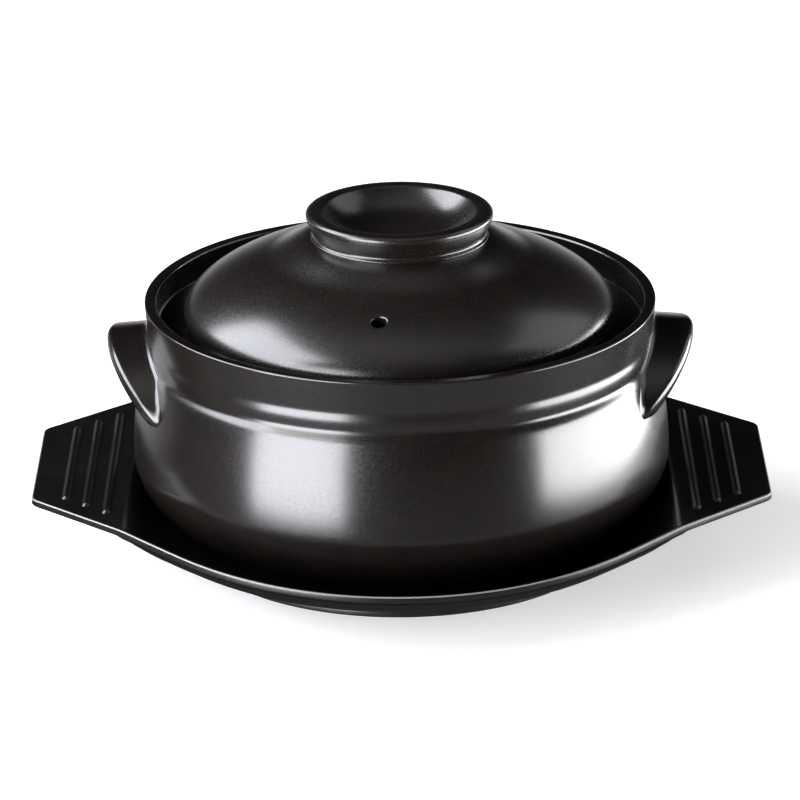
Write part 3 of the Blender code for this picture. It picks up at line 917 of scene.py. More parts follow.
    def lug(self, side: Side) -> Shell:
        """An ear lug: sections along the arch, flared onto the wall and rounded at the nose.

        Each section starts sunk in the wall, leaves it in a round fillet, runs out along the
        upper face, turns round the nose, comes back along the lower face and meets the wall in
        a second fillet. Near both ends of the arch the tip draws back to the wall by the square
        root of 1 - t^2, with t from 0 to 1 between the start and the end of the taper, which
        closes the lug in a round end.

        Args:
            side: Which side of the pot it is on.

        Returns:
            The lug, in place.
        """
        share = self.lug_taper_end * np.sin(np.linspace(-pi / 2, pi / 2, self.lug_sections))
        ends = (np.abs(share) - self.lug_taper_start) / (self.lug_taper_end - self.lug_taper_start)
        taper = np.sqrt(np.clip(1.0 - np.clip(ends, 0.0, 1.0) ** 2, 0.0, 1.0))
        root, edge = self.lug_root(share), self.lug_edge(share)
        root_in = self.towards_inside(self.lug_root, share)
        edge_in = self.towards_inside(self.lug_edge, share)
        width = (self.lug_end_width + (1.0 - self.lug_end_width) * taper)[:, None]
        under = root + root_in * self.lug_thickness * width
        edge_under = edge + edge_in * self.lug_tip_thickness * width
        reach = self.lug_end_reach + (self.lug_reach - self.lug_end_reach) \
            * (1.0 - np.minimum(np.abs(share), 1.0) ** self.lug_reach_power)
        wall = np.maximum(self.wall_radius(root[:, 1]), self.wall_radius(under[:, 1]))
        sunk = wall - self.lug_end_sink
        tip = sunk + (self.rim_radius + reach - sunk) * taper
        depth_up = np.maximum(tip - self.wall_radius(root[:, 1]), 0.0)
        depth_low = np.maximum(tip - self.wall_radius(under[:, 1]), 0.0)
        nose = np.minimum(self.lug_nose, np.minimum(depth_up, depth_low) * 0.5)
        upper = self.lug_face(root, edge, tip, *self.lug_rows(depth_up, nose), -root_in)
        lower = self.lug_face(under, edge_under, tip, *self.lug_rows(depth_low, nose), root_in)
        cap = np.radians(np.linspace(90.0, -90.0, 27))[1:-1, None]
        mix = (0.5 - 0.5 * np.sin(cap))[..., None]
        radius = tip - nose + nose * np.cos(cap) ** self.lug_nose_power
        out = np.clip((radius - self.rim_radius) / (tip - self.rim_radius), 0.0, 1.0)[..., None]
        high = root + (edge - root) * out
        low = under + (edge_under - under) * out
        front = np.concatenate((high + (low - high) * mix, radius[..., None]), axis=-1)
        whole = np.vstack((upper, front, lower[::-1]))
        angle = whole[..., 0] / self.rim_radius
        drop = self.lug_left_drop if side is Side.LEFT else 0.0
        points = np.stack((side.value * whole[..., 2] * np.cos(angle),
                           side.value * whole[..., 2] * np.sin(angle),
                           whole[..., 1] + self.rim_z - drop), axis=-1)
        count = len(points)
        poles = np.vstack((points[:, 0].mean(0), points[:, -1].mean(0)))
        first = np.arange(count) * len(share)
        flat = np.vstack((points.reshape(-1, 3), poles))
        triangles = np.vstack((fan(len(flat) - 2, first),
                               fan(len(flat) - 1, first[::-1] + len(share) - 1)))
        return Shell(flat, grid_quads(count, len(share), True, False), triangles).turned_out()

    def build(self) -> None:
        """Builds and dresses the bowl and both lugs."""
        finish = self.glaze.material()
        place_piece("thrown_bowl", self.bowl().mesh("thrown_bowl"), finish, Body.POT,
                    ["pot_basin", "pot_bowl", "pot_collar", "pot_ledge"])
        for side, node in ((Side.RIGHT, "lug_right"), (Side.LEFT, "lug_left")):
            name = f"luted_{node}"
            place_piece(name, self.lug(side).mesh(name), finish, Body.POT, [node])


# The lid


@dataclass
class DomedLid:
    """The lid: a domed shell with its vent, and the grip ring luted to its crown."""

    glaze: StonewareGlaze
    pot: StewPot

    # Dome and shoulder
    side_gap: float = 0.0102
    crown_z: float = 0.0238
    edge_rise: float = 0.0050
    wall: float = 0.0058
    dome_power: float = 1.8
    shoulder_rise: float = 0.0033
    shoulder_radius: float = 0.0500

    # Seat and flange
    flange_height: float = 0.0060
    flange_thickness: float = 0.0042
    flange_round: float = 0.0014
    flange_play: float = 0.0010
    seat_round: float = 0.0008
    seat_width: float = 0.0030
    seat_gap: float = 0.0003

    # Vent
    vent_diameter: float = 0.0054
    vent_radius_from_axis: float = 0.0625
    vent_turn: float = radians(-7.0)
    vent_edge_round: float = 0.0008
    vent_cut_depth: float = 0.0160
    vent_cut_above: float = 0.0040
    sharp_angle: float = radians(55)

    # Grip ring
    grip_radius: float = 0.03475
    grip_height: float = 0.0100
    grip_top_width: float = 0.0063
    grip_floor_radius: float = 0.0248
    grip_floor_share: float = 0.9
    grip_neck_inset: float = 0.0026
    grip_neck_rise: float = 0.0012
    grip_lip_depth: float = 0.0026
    grip_brow_round: float = 0.0016
    grip_brow_inset: float = 0.0008
    grip_brow_width: float = 0.0012
    grip_brow_drop: float = 0.0005
    grip_crest_share: float = 0.45
    grip_crest_drop: float = 0.0001
    grip_shoulder_width: float = 0.0010
    grip_shoulder_drop: float = 0.0003
    grip_edge_drop: float = 0.0012
    grip_spacing: float = 0.0003
    grip_blur: float = 0.0003
    grip_fillet: float = 0.0011
    grip_foot_flare: float = 0.0014
    grip_toe: float = 0.0003
    grip_sink: float = 0.0008
    grip_core_depth: float = 0.0030
    grip_dish_power: float = 4.4
    steps: int = 240

    @property
    def edge_radius(self) -> float:
        """Radius of the lid's edge."""
        return self.pot.collar_inner - self.side_gap

    @property
    def seat_z(self) -> float:
        """Height of the lid's seat from the rim."""
        return -self.pot.ledge_depth + self.seat_gap

    @property
    def foot_radius(self) -> float:
        """Radius where the grip's foot meets the dome."""
        return self.grip_radius - self.grip_neck_inset + self.grip_foot_flare

    @staticmethod
    def dome(radius: Array, edge_radius: float, edge_z: float, crown_z: float,
             power: float) -> Array:
        """Superelliptic dome: edge + rise * (1 - (r / edge)^p)^(1 / p)."""
        share = np.clip(np.asarray(radius) / edge_radius, 0.0, 1.0)
        return edge_z + (crown_z - edge_z) * (1.0 - share ** power) ** (1.0 / power)

    def top(self, radius: Array) -> Array:
        """Height of the outer surface, with the shoulder smoothed out onto the dome.

        Args:
            radius: Radii from the axis.

        Returns:
            Heights from the rim.
        """
        foot = self.foot_radius
        share = (np.asarray(radius) - foot) / (self.shoulder_radius - foot)
        shoulder = self.shoulder_rise * (1.0 - smoothstep(share))
        edge_z = self.seat_z + self.edge_rise
        return self.dome(radius, self.edge_radius, edge_z, self.crown_z,
                         self.dome_power) + shoulder

    def shell(self) -> Shell:
        """The domed shell with its rounded edge, seat, flange and hollow inside.

        Returns:
            The shell, turned about Z, in place.
        """
        foot = self.foot_radius
        crown = np.array([(radius, self.crown_z) for radius in (
            0.0, self.grip_floor_radius * self.grip_floor_share, self.grip_floor_radius)])
        spread = np.sin(np.linspace(0.0, pi / 2, 90))
        radii = foot + (self.edge_radius - foot) * spread
        dome = np.column_stack((radii, self.top(radii)))
        flange_outer = self.pot.ledge_inner - self.flange_play
        flange_inner = flange_outer - self.flange_thickness
        seat_outer = flange_outer + self.seat_width
        edge_z = self.seat_z + self.edge_rise
        edge = superellipse_quarter((seat_outer, self.seat_z), (self.edge_radius, edge_z),
                                    power=2.0, count=14)[::-1]
        low = self.seat_z - self.flange_height
        inner_edge = self.edge_radius - self.wall
        inner_edge_z = edge_z - self.wall / 2
        inner_crown = self.crown_z - self.wall
        inner_radii = flange_inner * np.cos(np.linspace(0.0, pi / 2, 40))
        inner_radii[-1] = 0.0
        inside = np.column_stack((inner_radii, self.dome(inner_radii, inner_edge, inner_edge_z,
                                                         inner_crown, self.dome_power)))
        flange = rounded([(seat_outer, self.seat_z),
                          (flange_outer, self.seat_z, self.seat_round),
                          (flange_outer, low, self.flange_round),
                          (flange_inner, low, self.flange_round), tuple(inside[0])], count=6)
        profile = np.vstack((crown, dome, edge[1:], flange[1:-1], inside))
        profile[:, 1] += self.pot.rim_z
        return revolved(profile, self.steps)

    def vent_cutter(self) -> bpy.types.Object:
        """A spool with flared ends that cuts the vent and rounds its outer edge.

        The radius is the vent's radius, and grows by the edge's round near the outer surface
        along a quarter circle: R + e * (1 - cos(t)).

        Returns:
            The cutter, square to the dome at the vent.
        """
        out = np.array((sin(self.vent_turn), -cos(self.vent_turn)))
        place, step = self.vent_radius_from_axis, 0.0005
        slope = float((self.top(place + step) - self.top(place - step)) / (2 * step))
        normal = Vector((-out[0] * slope, -out[1] * slope, 1.0)).normalized()
        centre = Vector((out[0] * place, out[1] * place, float(self.top(place)) + self.pot.rim_z))
        size, edge = self.vent_diameter / 2, self.vent_edge_round
        turn = np.linspace(0.0, pi / 2, 9)
        flare = np.column_stack((size + edge * (1 - np.cos(turn)), -edge + edge * np.sin(turn)))
        bottom, top = -self.vent_cut_depth, self.vent_cut_above
        profile = np.vstack(((0.0, bottom), (size, bottom), flare, (size + edge, top),
                             (0.0, top)))
        mesh = revolved(profile, 48).mesh("vent_cutter")
        turned = normal.to_track_quat("Z", "Y").to_matrix().to_4x4()
        turned.translation = centre
        mesh.transform(turned)
        cutter = bpy.data.objects.new("vent_cutter", mesh)
        bpy.context.scene.collection.objects.link(cutter)
        return cutter

    def cut_vent(self, piece: bpy.types.Object) -> None:
        """Cuts the vent out of the shell with an exact Boolean and applies it.

        Args:
            piece: The lid's shell.
        """
        cutter = self.vent_cutter()
        modifier = piece.modifiers.new("Vent", "BOOLEAN")
        modifier.solver = "EXACT"
        modifier.object = cutter
        graph = bpy.context.evaluated_depsgraph_get()
        cut_mesh = bpy.data.meshes.new_from_object(piece.evaluated_get(graph), depsgraph=graph)
        piece.modifiers.clear()
        old, piece.data = piece.data, cut_mesh
        bpy.data.meshes.remove(old)
        bpy.data.objects.remove(cutter)
        cut_mesh.name = piece.name
        cut_mesh.shade_smooth()
        cut_mesh.set_sharp_from_angle(angle=self.sharp_angle)

    def grip(self) -> Shell:
        """The grip ring with its rolled lip, waist and dished inside, its foot luted down.

        Inside, the dish rises from its floor by (r / R)^p up to the lip's brow. Below the lip
        the side draws in straight to the neck, just above the foot, where a small hollow round
        turns it out onto the dome.

        Returns:
            The grip, turned about Z, in place.
        """
        top = self.crown_z + self.grip_height
        foot = self.foot_radius
        foot_z = float(self.top(foot)) + self.seat_gap
        inner_top = self.grip_radius - self.grip_top_width
        lip_z = top - self.grip_lip_depth
        neck = self.grip_radius - self.grip_neck_inset
        floor_z = self.crown_z + self.seat_gap
        share = np.linspace(0.0, 1.0, 40)
        dish = np.column_stack(((inner_top - self.grip_brow_inset) * share,
                                floor_z + share ** self.grip_dish_power
                                * (top - self.grip_brow_round - floor_z)))
        crest = self.grip_radius - self.grip_top_width * self.grip_crest_share
        neck_z = foot_z + self.grip_neck_rise
        side = softened([
            *dish, (inner_top, top - self.grip_brow_drop),
            (inner_top + self.grip_brow_width, top - self.grip_crest_drop), (crest, top),
            (self.grip_radius - self.grip_shoulder_width, top - self.grip_shoulder_drop),
            (self.grip_radius, top - self.grip_edge_drop), (self.grip_radius, lip_z),
            (neck, neck_z)], self.grip_spacing, self.grip_blur)
        fillet = arc((neck + self.grip_fillet, neck_z), self.grip_fillet, 180.0, 250.0, count=9)
        sunk = np.array([(fillet[-1, 0] + self.grip_toe, fillet[-1, 1] - self.grip_sink),
                         (foot - self.grip_core_depth, foot_z - self.grip_core_depth),
                         (0.0, self.crown_z - self.grip_sink)])
        profile = np.vstack((side, fillet[1:], sunk))
        profile[:, 1] += self.pot.rim_z
        return revolved(profile, self.steps)

    def build(self) -> None:
        """Builds and dresses the shell and the grip."""
        finish = self.glaze.material()
        shell = place_piece("domed_lid", self.shell().mesh("domed_lid"), finish, Body.LID,
                            ["lid_dome", "lid_flange"])
        self.cut_vent(shell)
        place_piece("luted_grip_ring", self.grip().mesh("luted_grip_ring"), finish, Body.LID,
                    ["lid_grip_ring"])


# The tray


@dataclass
class ServingTray:
    """The moulded tray: a round dish for the pot between two flat ribbed wings."""

    finish: MouldedPhenolic

    # Plan, rim and wings
    half_length: float = 0.1370
    wing_end_half_width: float = 0.0365
    wing_corner_round: float = 0.0060
    wing_height: float = 0.0310
    dish_rim_radius: float = 0.1195
    dish_rim_height: float = 0.0255
    dish_lip: float = 0.0025
    rim_rise_power: float = 2.2
    wall: float = 0.0027
    edge_round: float = 0.0006
    steepest: float = 2.2  # slope up to which the wall is measured square to the surface

    # Well and foot
    floor_radius: float = 0.0760
    floor_z: float = 0.0087
    crease: float = 0.1006
    crease_round: float = 0.0032
    well_power: float = 2.0
    foot_ring_width: float = 0.0050
    foot_ring_round: float = 0.0006

    # Ribs
    rib_count: int = 3
    rib_start: float = 0.1085
    rib_spacing: float = 0.0078
    rib_width: float = 0.0026
    rib_height: float = 0.0012
    rib_margin: float = 0.0112
    rib_spread: float = 1.35  # times its width, where it dies into the wing
    rib_power: float = 1.6
    rib_end_margin: float = 0.0006
    rib_sink: float = 0.00002
    rib_skirt_depth: float = 0.0004
    rib_bottom_depth: float = 0.0008

    # Fineness of the mesh
    spokes: int = 480
    floor_rows: int = 8
    well_rows: int = 30
    wing_rows: int = 18
    edge_rows: int = 7
    # Rows of the edge's upper round that take the painted highlight.
    painted_highlight_rows: int = 4  # of the edge's rows

    @property
    def rows_before_edge(self) -> int:
        """Rows of the moulding's top inside its rounded edge."""
        return self.floor_rows + self.well_rows + self.wing_rows - 1

    def outline(self) -> tuple[Array, Array]:
        """Plan of the tray's edge: wing ends, round corners, tangent sides and the round dish.

        The side is the line that touches the dish's circle and passes the wing's corner.

        Returns:
            Points (spokes, 2) and their outward unit normals, at an even spacing.
        """
        angle = atan2(self.wing_end_half_width, self.half_length)
        distance = sqrt(self.wing_end_half_width ** 2 + self.half_length ** 2)
        touch = angle + acos(self.dish_rim_radius / distance)
        setback = self.wing_corner_round * tan(touch / 2)
        centre = (self.half_length - self.wing_corner_round, self.wing_end_half_width - setback)
        corner = arc(centre, self.wing_corner_round, 0.0, degrees(touch), count=40)
        dish = arc((0.0, 0.0), self.dish_rim_radius, degrees(touch), 90.0, count=200)
        quarter = np.vstack(((self.half_length, 0.0), corner, dish))
        half = np.vstack((quarter, quarter[::-1][1:] * (-1, 1)))
        whole = np.vstack((half, half[::-1][1:] * (1, -1)))
        steps = np.hypot(*np.diff(whole, axis=0).T)
        length = np.concatenate(((0.0,), np.cumsum(steps)))
        places = np.linspace(0.0, length[-1], self.spokes, endpoint=False)
        points = np.column_stack([np.interp(places, length, whole[:, k]) for k in range(2)])
        along = np.roll(points, -1, axis=0) - np.roll(points, 1, axis=0)
        normals = np.column_stack((along[:, 1], -along[:, 0]))
        return points, normals / np.linalg.norm(normals, axis=1)[:, None]

    def rim_height(self, x: Array) -> Array:
        """Height of the rim: lowest at front and back, level along the wings.

        Between the two it rises by (x / crease)^p.

        Args:
            x: Distances from the middle of the tray.

        Returns:
            Heights, in the shape of the distances.
        """
        share = np.minimum(np.abs(x) / self.crease, 1.0)
        return self.dish_rim_height \
            + (self.wing_height - self.dish_rim_height) * share ** self.rim_rise_power

    def crease_radius(self, edge: Array) -> Array:
        """Distance from the axis at which the well ends, towards each point of the edge.

        Args:
            edge: Points (n, 2) of the edge.

        Returns:
            Radii (n,).
        """
        distance = np.hypot(*edge.T)
        wing = self.crease * distance / np.maximum(np.abs(edge[:, 0]), TINY)
        return np.minimum(distance - self.dish_lip, wing)

    def heights(self, plan: Array, edge: Array, reach: float) -> Array:
        """Height of the moulding's top: the smaller of the well and the rim surface, rounded.

        The well rises from the floor by share^2 up to the crease and on past it. The rim
        surface is the height of the rim at the same X.

        Args:
            plan: Points (..., n, 2) on the spokes.
            edge: Points (n, 2) where the spokes meet the edge.
            reach: Difference in height within which the crease is rounded.

        Returns:
            Heights (..., n).
        """
        crease = self.crease_radius(edge)
        crease_x = edge[:, 0] / np.hypot(*edge.T) * crease
        rise = self.rim_height(crease_x) - self.floor_z
        radius = np.hypot(plan[..., 0], plan[..., 1])
        share = np.maximum(radius - self.floor_radius, 0.0) / (crease - self.floor_radius)
        well = self.floor_z + rise * share ** self.well_power
        rim = self.rim_height(plan[..., 0])
        return soft_minimum(well, rim, reach)

    def moulding(self) -> Shell:
        """The sheet as one closed surface: top, rounded edge and underside.

        Each spoke runs from the middle out over the floor, well and wing to the edge, turns
        over it in two rounds with an upright face between them, and comes back underneath at
        the wall's thickness, measured square to the surface.

        Returns:
            The sheet, in place.
        """
        edge, normal = self.outline()
        inner = edge - normal * self.edge_round
        floor = np.linspace(0.0, 1.0, self.floor_rows + 1)[1:]
        rise = np.sin(np.linspace(0.0, pi / 2, self.well_rows + 1))[1:]
        out = 0.5 - 0.5 * np.cos(np.linspace(0.0, pi, self.wing_rows + 1)[1:])
        distance = np.hypot(*inner.T)
        crease = self.crease_radius(edge)
        rows = np.vstack((np.outer(floor, np.full(len(edge), self.floor_radius)),
                          self.floor_radius + np.outer(rise, crease - self.floor_radius),
                          crease + np.outer(out, distance - crease)))
        plan = (inner / distance[:, None])[None] * rows[..., None]
        top = self.heights(plan, edge, self.crease_round)
        slope = np.gradient(top, axis=0) / np.maximum(np.gradient(rows, axis=0), TINY)
        slope = np.clip(slope, -self.steepest, self.steepest)
        under = self.heights(plan, edge, self.crease_round + self.wall) \
            - self.wall * np.sqrt(1.0 + slope ** 2)
        under = np.minimum(under, top - self.wall)
        under[-1] = top[-1] - self.wall
        turn = np.linspace(0.0, pi / 2, self.edge_rows)
        out_by = self.edge_round * np.sin(turn)
        down_by = self.edge_round * (1.0 - np.cos(turn))
        edge_plan = inner[None] + normal[None] * out_by[:, None, None]
        upper_z = top[-1][None] - down_by[:, None]
        lower_z = (top[-1] - self.wall)[None] + down_by[::-1][:, None]
        plans = np.vstack((plan[:-1], edge_plan, edge_plan[::-1], plan[:-1][::-1]))
        levels = np.vstack((top[:-1], upper_z, lower_z, under[:-1][::-1]))
        rings = np.concatenate((plans, levels[..., None]), axis=-1)
        count = rings.shape[0]
        points = np.vstack((rings.reshape(-1, 3), (0.0, 0.0, self.floor_z),
                            (0.0, 0.0, self.floor_z - self.wall)))
        ring = np.arange(len(edge))
        triangles = np.vstack((fan(len(points) - 2, ring[::-1]),
                               fan(len(points) - 1, ring + (count - 1) * len(edge))))
        return Shell(points, grid_quads(count, len(edge), False, True), triangles).turned_out()

    def mark_painted_highlight(self, mesh: bpy.types.Mesh) -> None:
        """Marks the line along the upper edge that takes a painted highlight.

        The line takes the rows of the upper round from its second on.

        Args:
            mesh: The tray's mesh, which starts with the rows of the moulding.
        """
        first = (self.rows_before_edge + 1) * self.spokes
        mark = np.zeros(len(mesh.vertices), np.float32)
        # The painted highlight: these rows of the upper round get 1.
        mark[first:first + self.painted_highlight_rows * self.spokes] = 1.0
        mesh.attributes.new(PAINTED_HIGHLIGHT_EDGE, "FLOAT", "POINT").data.foreach_set("value", mark)

    def foot_ring(self) -> Shell:
        """The ring that the tray stands on, with rounded lower edges, sunk into the floor.

        Returns:
            The ring, turned about Z, in place.
        """
        outer = self.floor_radius + self.foot_ring_width / 2
        inner = self.floor_radius - self.foot_ring_width / 2
        top = self.floor_z - self.wall / 2
        profile = rounded([(inner, top), (inner, 0.0, self.foot_ring_round),
                           (outer, 0.0, self.foot_ring_round), (outer, top)], count=5)
        return revolved(profile, 180, closed=True)

    def rib_half_length(self, x: float) -> float:
        """Half length of the rib at one X, a margin inside the edge.

        Args:
            x: Distance from the middle of the tray.

        Returns:
            The half length.
        """
        edge, _ = self.outline()
        side = edge[(edge[:, 0] > self.crease / 2) & (edge[:, 1] > 0.0)]
        order = np.argsort(side[:, 0])
        return float(np.interp(x, side[order, 0], side[order, 1])) - self.rib_margin

    def rib(self, x: float, side: Side) -> Shell:
        """A finger rib: a long mound with round ends that dies into the wing.

        With d the distance from the rib's middle line and w its half width with the spread, the
        height is that of the rib times (1 - (d / w)^2)^1.6, and a sunk skirt with a flat bottom
        closes it below the wing.

        Args:
            x: Distance of the rib from the middle of the tray.
            side: The wing that it is on.

        Returns:
            The rib, in place.
        """
        length = self.rib_half_length(x)
        reach = self.rib_width / 2 * self.rib_spread
        across = np.linspace(-reach, reach, 21)
        end = length + self.rib_end_margin
        run = np.linspace(-end, end, 181)
        grid_x, grid_y = np.meshgrid(across, run, indexing="ij")
        beyond = np.maximum(np.abs(grid_y) - (length - self.rib_width / 2), 0.0)
        away = np.hypot(grid_x, beyond) / reach
        mound = np.clip(1.0 - away ** 2, 0.0, 1.0) ** self.rib_power
        height = self.wing_height + self.rib_height * mound - self.rib_sink
        border = np.zeros_like(height, bool)
        border[[0, -1], :] = True
        border[:, [0, -1]] = True
        height[border] = self.wing_height - self.rib_skirt_depth
        top = np.stack((side.value * (x + grid_x), grid_y, height), axis=-1).reshape(-1, 3)
        rows, columns = height.shape
        number = np.arange(len(top)).reshape(rows, columns)
        loop = np.concatenate((number[0, :-1], number[:-1, -1], number[-1, :0:-1],
                               number[:0:-1, 0]))
        low = self.wing_height - self.rib_bottom_depth
        sunk = np.column_stack((top[loop, :2], np.full(len(loop), low)))
        points = np.vstack((top, sunk, (side.value * x, 0.0, low)))
        below = len(top) + np.arange(len(loop))
        skirt = np.column_stack((np.roll(loop, -1), loop, below, np.roll(below, -1)))
        quads = np.vstack((grid_quads(rows, columns, False, False), skirt))
        return Shell(points, quads, fan(len(points) - 1, below[::-1])).turned_out()

    def build(self) -> None:
        """Builds the moulding with its foot ring and ribs, and dresses it."""
        whole = self.moulding().joined(self.foot_ring())
        for side in Side:
            for index in range(self.rib_count):
                whole = whole.joined(self.rib(self.rib_start + index * self.rib_spacing, side))
        mesh = whole.mesh("moulded_tray")
        # Marks the painted highlight along the rounded upper edge.
        self.mark_painted_highlight(mesh)
        place_piece("moulded_tray", mesh, self.finish.material(), Body.TRAY,
                    ["serving_tray"])


# The studio


@dataclass(frozen=True)
class Softbox:
    """A large soft lamp, placed by the direction in which the pot sees it.

    The azimuth is 0 towards the camera and grows to the right; the elevation is from the
    table, and a box may reach below it, as one does that stands beside the table.
    """

    name: str
    azimuth: float
    elevation: float
    width: float
    height: float
    radiance: float
    distance: float = 1.25
    warmth: tuple[float, float, float] = (1.0, 1.0, 1.0)

    def build(self, aim: Vector) -> None:
        """Adds the lamp, facing the aim.

        Args:
            aim: The point that it faces.
        """
        turn, lift = radians(self.azimuth), radians(self.elevation)
        out = Vector((sin(turn) * cos(lift), -cos(turn) * cos(lift), sin(lift)))
        lamp = bpy.data.lights.new(self.name, "AREA")
        lamp.shape = "RECTANGLE"
        lamp.size = 2 * self.distance * tan(radians(self.width / 2))
        lamp.size_y = 2 * self.distance * tan(radians(self.height / 2))
        lamp.energy = self.radiance * pi * lamp.size * lamp.size_y
        lamp.color = self.warmth
        holder = bpy.data.objects.new(self.name, lamp)
        holder.location = aim + out * self.distance
        holder.rotation_mode = "QUATERNION"
        holder.rotation_quaternion = out.to_track_quat("Z", "Y")
        holder.visible_camera = False
        bpy.context.scene.collection.objects.link(holder)
        log.info("softbox %s, %.2f by %.2f m", self.name, lamp.size, lamp.size_y)


@dataclass
class Studio:
    """Pale floor, soft lamps, surroundings and the camera."""

    aim: Vector = field(default_factory=lambda: Vector((-0.0003, 0.0, 0.0553)))
    camera_distance: float = 1.8
    camera_elevation: float = 20.5
    camera_roll: float = -0.45
    lens_mm: float = 216.0
    sensor_mm: float = 36.0
    clip_start: float = 0.1
    clip_end: float = 20.0
    floor_radius: float = 3.0
    floor_sides: int = 96
    floor_pale: str = "e6e6e6"
    floor_shade: str = "e2e2e2"
    floor_grains_per_metre: float = 400.0
    floor_roughness: float = 0.9
    floor_lift: float = 0.42
    boxes_aim: Vector = field(default_factory=lambda: Vector((0.0, 0.0, 0.06)))
    boxes: tuple[Softbox, ...] = (
        Softbox("left_front_box", -43.0, 1.5, 40.0, 33.5, 15.0, warmth=(0.97, 0.985, 1.04)),
        Softbox("left_front_upper_box", -45.0, 25.0, 34.0, 14.0, 7.5),
        Softbox("right_box", 95.0, -2.0, 72.0, 26.0, 15.0),
        Softbox("left_back_box", -90.0, 36.0, 54.0, 42.0, 11.0, warmth=(0.96, 0.98, 1.05)),
        Softbox("right_back_box", 108.0, 38.0, 40.0, 34.0, 1.2),
    )

    def paper(self) -> bpy.types.Material:
        """Matte white paper of the floor, lifted to white for the camera.

        Returns:
            The material.
        """
        made = bpy.data.materials.new("matte_white_paper")
        board = NodeBoard(made)
        ray = board.add("ShaderNodeLightPath")
        shown = board.add("ShaderNodeMath", {
            0: ray.outputs["Is Camera Ray"], 1: ray.outputs["Is Transmission Ray"]},
            operation="MAXIMUM")
        lift = board.add("ShaderNodeMath", {0: shown.outputs["Value"], 1: self.floor_lift},
                         operation="MULTIPLY")
        where = board.add("ShaderNodeTexCoord").outputs["Object"]
        tooth = board.add("ShaderNodeTexNoise", {
            "Vector": where, "Scale": self.floor_grains_per_metre})
        tone = board.ramp(tooth.outputs["Fac"], [(0.2, linear(self.floor_shade)),
                                                 (0.8, linear(self.floor_pale))])
        shader = board.add("ShaderNodeBsdfPrincipled", {
            "Base Color": tone, "Roughness": self.floor_roughness, "Specular IOR Level": 0.0,
            "Emission Color": (1.0, 1.0, 1.0, 1.0), "Emission Strength": lift.outputs["Value"]})
        board.add("ShaderNodeOutputMaterial", {"Surface": shader.outputs["BSDF"]})
        return made

    def floor(self) -> None:
        """A round pale floor that keeps the object's shadow and reads white to the camera.

        It is a fan of triangles round its middle. It doesn't show in the object's gloss,
        because two of the lamps stand beside the table and reach below it. The world below the
        horizon stands in for it there.
        """
        sides = self.floor_sides
        turn = np.linspace(0.0, 2 * pi, sides, endpoint=False)
        circle = np.column_stack((np.cos(turn), np.sin(turn), np.zeros(sides)))
        shell = Shell(np.vstack((circle * self.floor_radius, (0.0, 0.0, 0.0))),
                      np.zeros((0, 4), int), fan(sides, np.arange(sides)))
        plane = bpy.data.objects.new("studio_floor", shell.mesh("studio_floor"))
        plane.data.materials.append(self.paper())
        bpy.context.scene.collection.objects.link(plane)
        plane.visible_glossy = False
        plane.visible_shadow = False

    def surroundings(self) -> None:
        """The world: a dark studio with a pale table, a white backdrop, and white to the camera.

        Each level is a ramp over the direction's height, 0 straight down and 1 straight up,
        times a ramp over its Y. The table's glow fades out behind the object. The backdrop is a
        low band behind it, which only the gloss sees.
        """
        world = bpy.data.worlds.new("studio_surroundings")
        bpy.context.scene.world = world
        board = NodeBoard(world)
        way = board.add("ShaderNodeTexCoord").outputs["Generated"]
        axis = board.add("ShaderNodeSeparateXYZ", {"Vector": way})
        height = board.add("ShaderNodeMath", {0: axis.outputs["Z"], 1: 0.5, 2: 0.5},
                           operation="MULTIPLY_ADD").outputs["Value"]
        behind = board.ramp(axis.outputs["Y"], [(0.30, 0.0), (0.75, 1.0)])
        low = board.ramp(height, [(0.32, 0.0), (0.39, 1.0), (0.44, 1.0), (0.53, 0.12),
                                  (0.60, 0.0)])
        backdrop = board.add("ShaderNodeMath", {0: behind, 1: low}, operation="MULTIPLY")
        table = board.ramp(height, [(0.0, 0.12), (0.10, 0.25), (0.17, 0.55), (0.30, 0.22),
                                    (0.42, 0.14), (0.50, 0.02), (0.72, 0.01), (0.86, 0.05),
                                    (0.95, 0.25), (1.0, 0.45)])
        ahead = board.ramp(axis.outputs["Y"], [(0.0, 1.0), (0.40, 0.10)])
        level = board.add("ShaderNodeMath", {0: table, 1: ahead},
                          operation="MULTIPLY").outputs["Value"]
        ray = board.add("ShaderNodeLightPath")
        mirrored = board.add("ShaderNodeMath", {
            0: ray.outputs["Is Glossy Ray"], 1: backdrop.outputs["Value"]}, operation="MULTIPLY")
        shown = board.add("ShaderNodeMath", {
            0: ray.outputs["Is Camera Ray"], 1: ray.outputs["Is Transmission Ray"]},
            operation="MAXIMUM")
        white = board.add("ShaderNodeMath", {
            0: shown.outputs["Value"], 1: mirrored.outputs["Value"]}, operation="MAXIMUM")
        strength = board.add("ShaderNodeMath", {0: level, 1: white.outputs["Value"]},
                             operation="MAXIMUM")
        light = board.add("ShaderNodeBackground", {
            "Color": (1.0, 1.0, 1.0, 1.0), "Strength": strength.outputs["Value"]})
        board.add("ShaderNodeOutputWorld", {"Surface": light.outputs["Background"]})

    def camera(self) -> None:
        """The camera, at the photograph's distance and angle."""
        data = bpy.data.cameras.new("studio_camera")
        data.sensor_width = self.sensor_mm
        data.lens = self.lens_mm
        data.clip_start, data.clip_end = self.clip_start, self.clip_end
        holder = bpy.data.objects.new("studio_camera", data)
        lift = radians(self.camera_elevation)
        out = Vector((0.0, -cos(lift), sin(lift)))
        holder.location = self.aim + out * self.camera_distance
        holder.rotation_mode = "QUATERNION"
        roll = Quaternion((0.0, 0.0, 1.0), radians(self.camera_roll))
        holder.rotation_quaternion = (-out).to_track_quat("-Z", "Y") @ roll
        bpy.context.scene.collection.objects.link(holder)
        bpy.context.scene.camera = holder

    def build(self) -> None:
        """Adds the floor, the surroundings, the lamps and the camera."""
        self.floor()
        self.surroundings()
        for box in self.boxes:
            box.build(self.boxes_aim)
        self.camera()
        bpy.context.scene.view_settings.view_transform = "Standard"


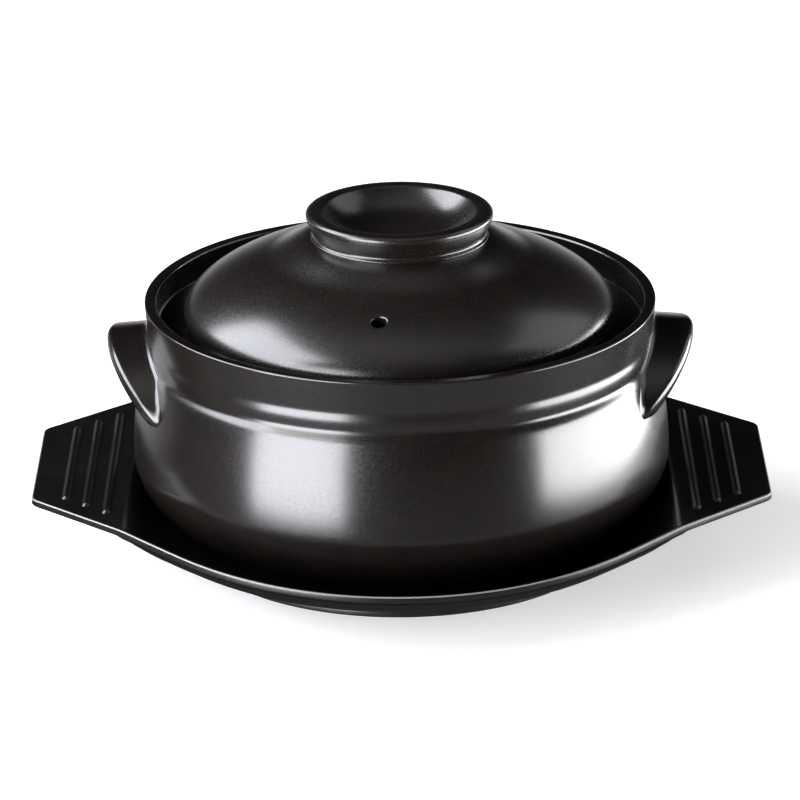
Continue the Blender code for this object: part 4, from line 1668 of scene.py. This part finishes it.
def main() -> None:
    """Builds the stew pot set and its studio."""
    logging.basicConfig(level=logging.INFO, format="%(name)s: %(message)s")
    pot = StewPot(StonewareGlaze("temmoku_glazed_stoneware", foot_height=0.0106))
    pot.build()
    lid_glaze = StonewareGlaze("temmoku_glazed_lid", dark="0d0b09", warm="120e0c",
                               roughness=0.26)
    DomedLid(lid_glaze, pot).build()
    ServingTray(MouldedPhenolic()).build()
    Studio().build()
    bpy.context.view_layer.update()


if __name__ == "__main__":
    main()
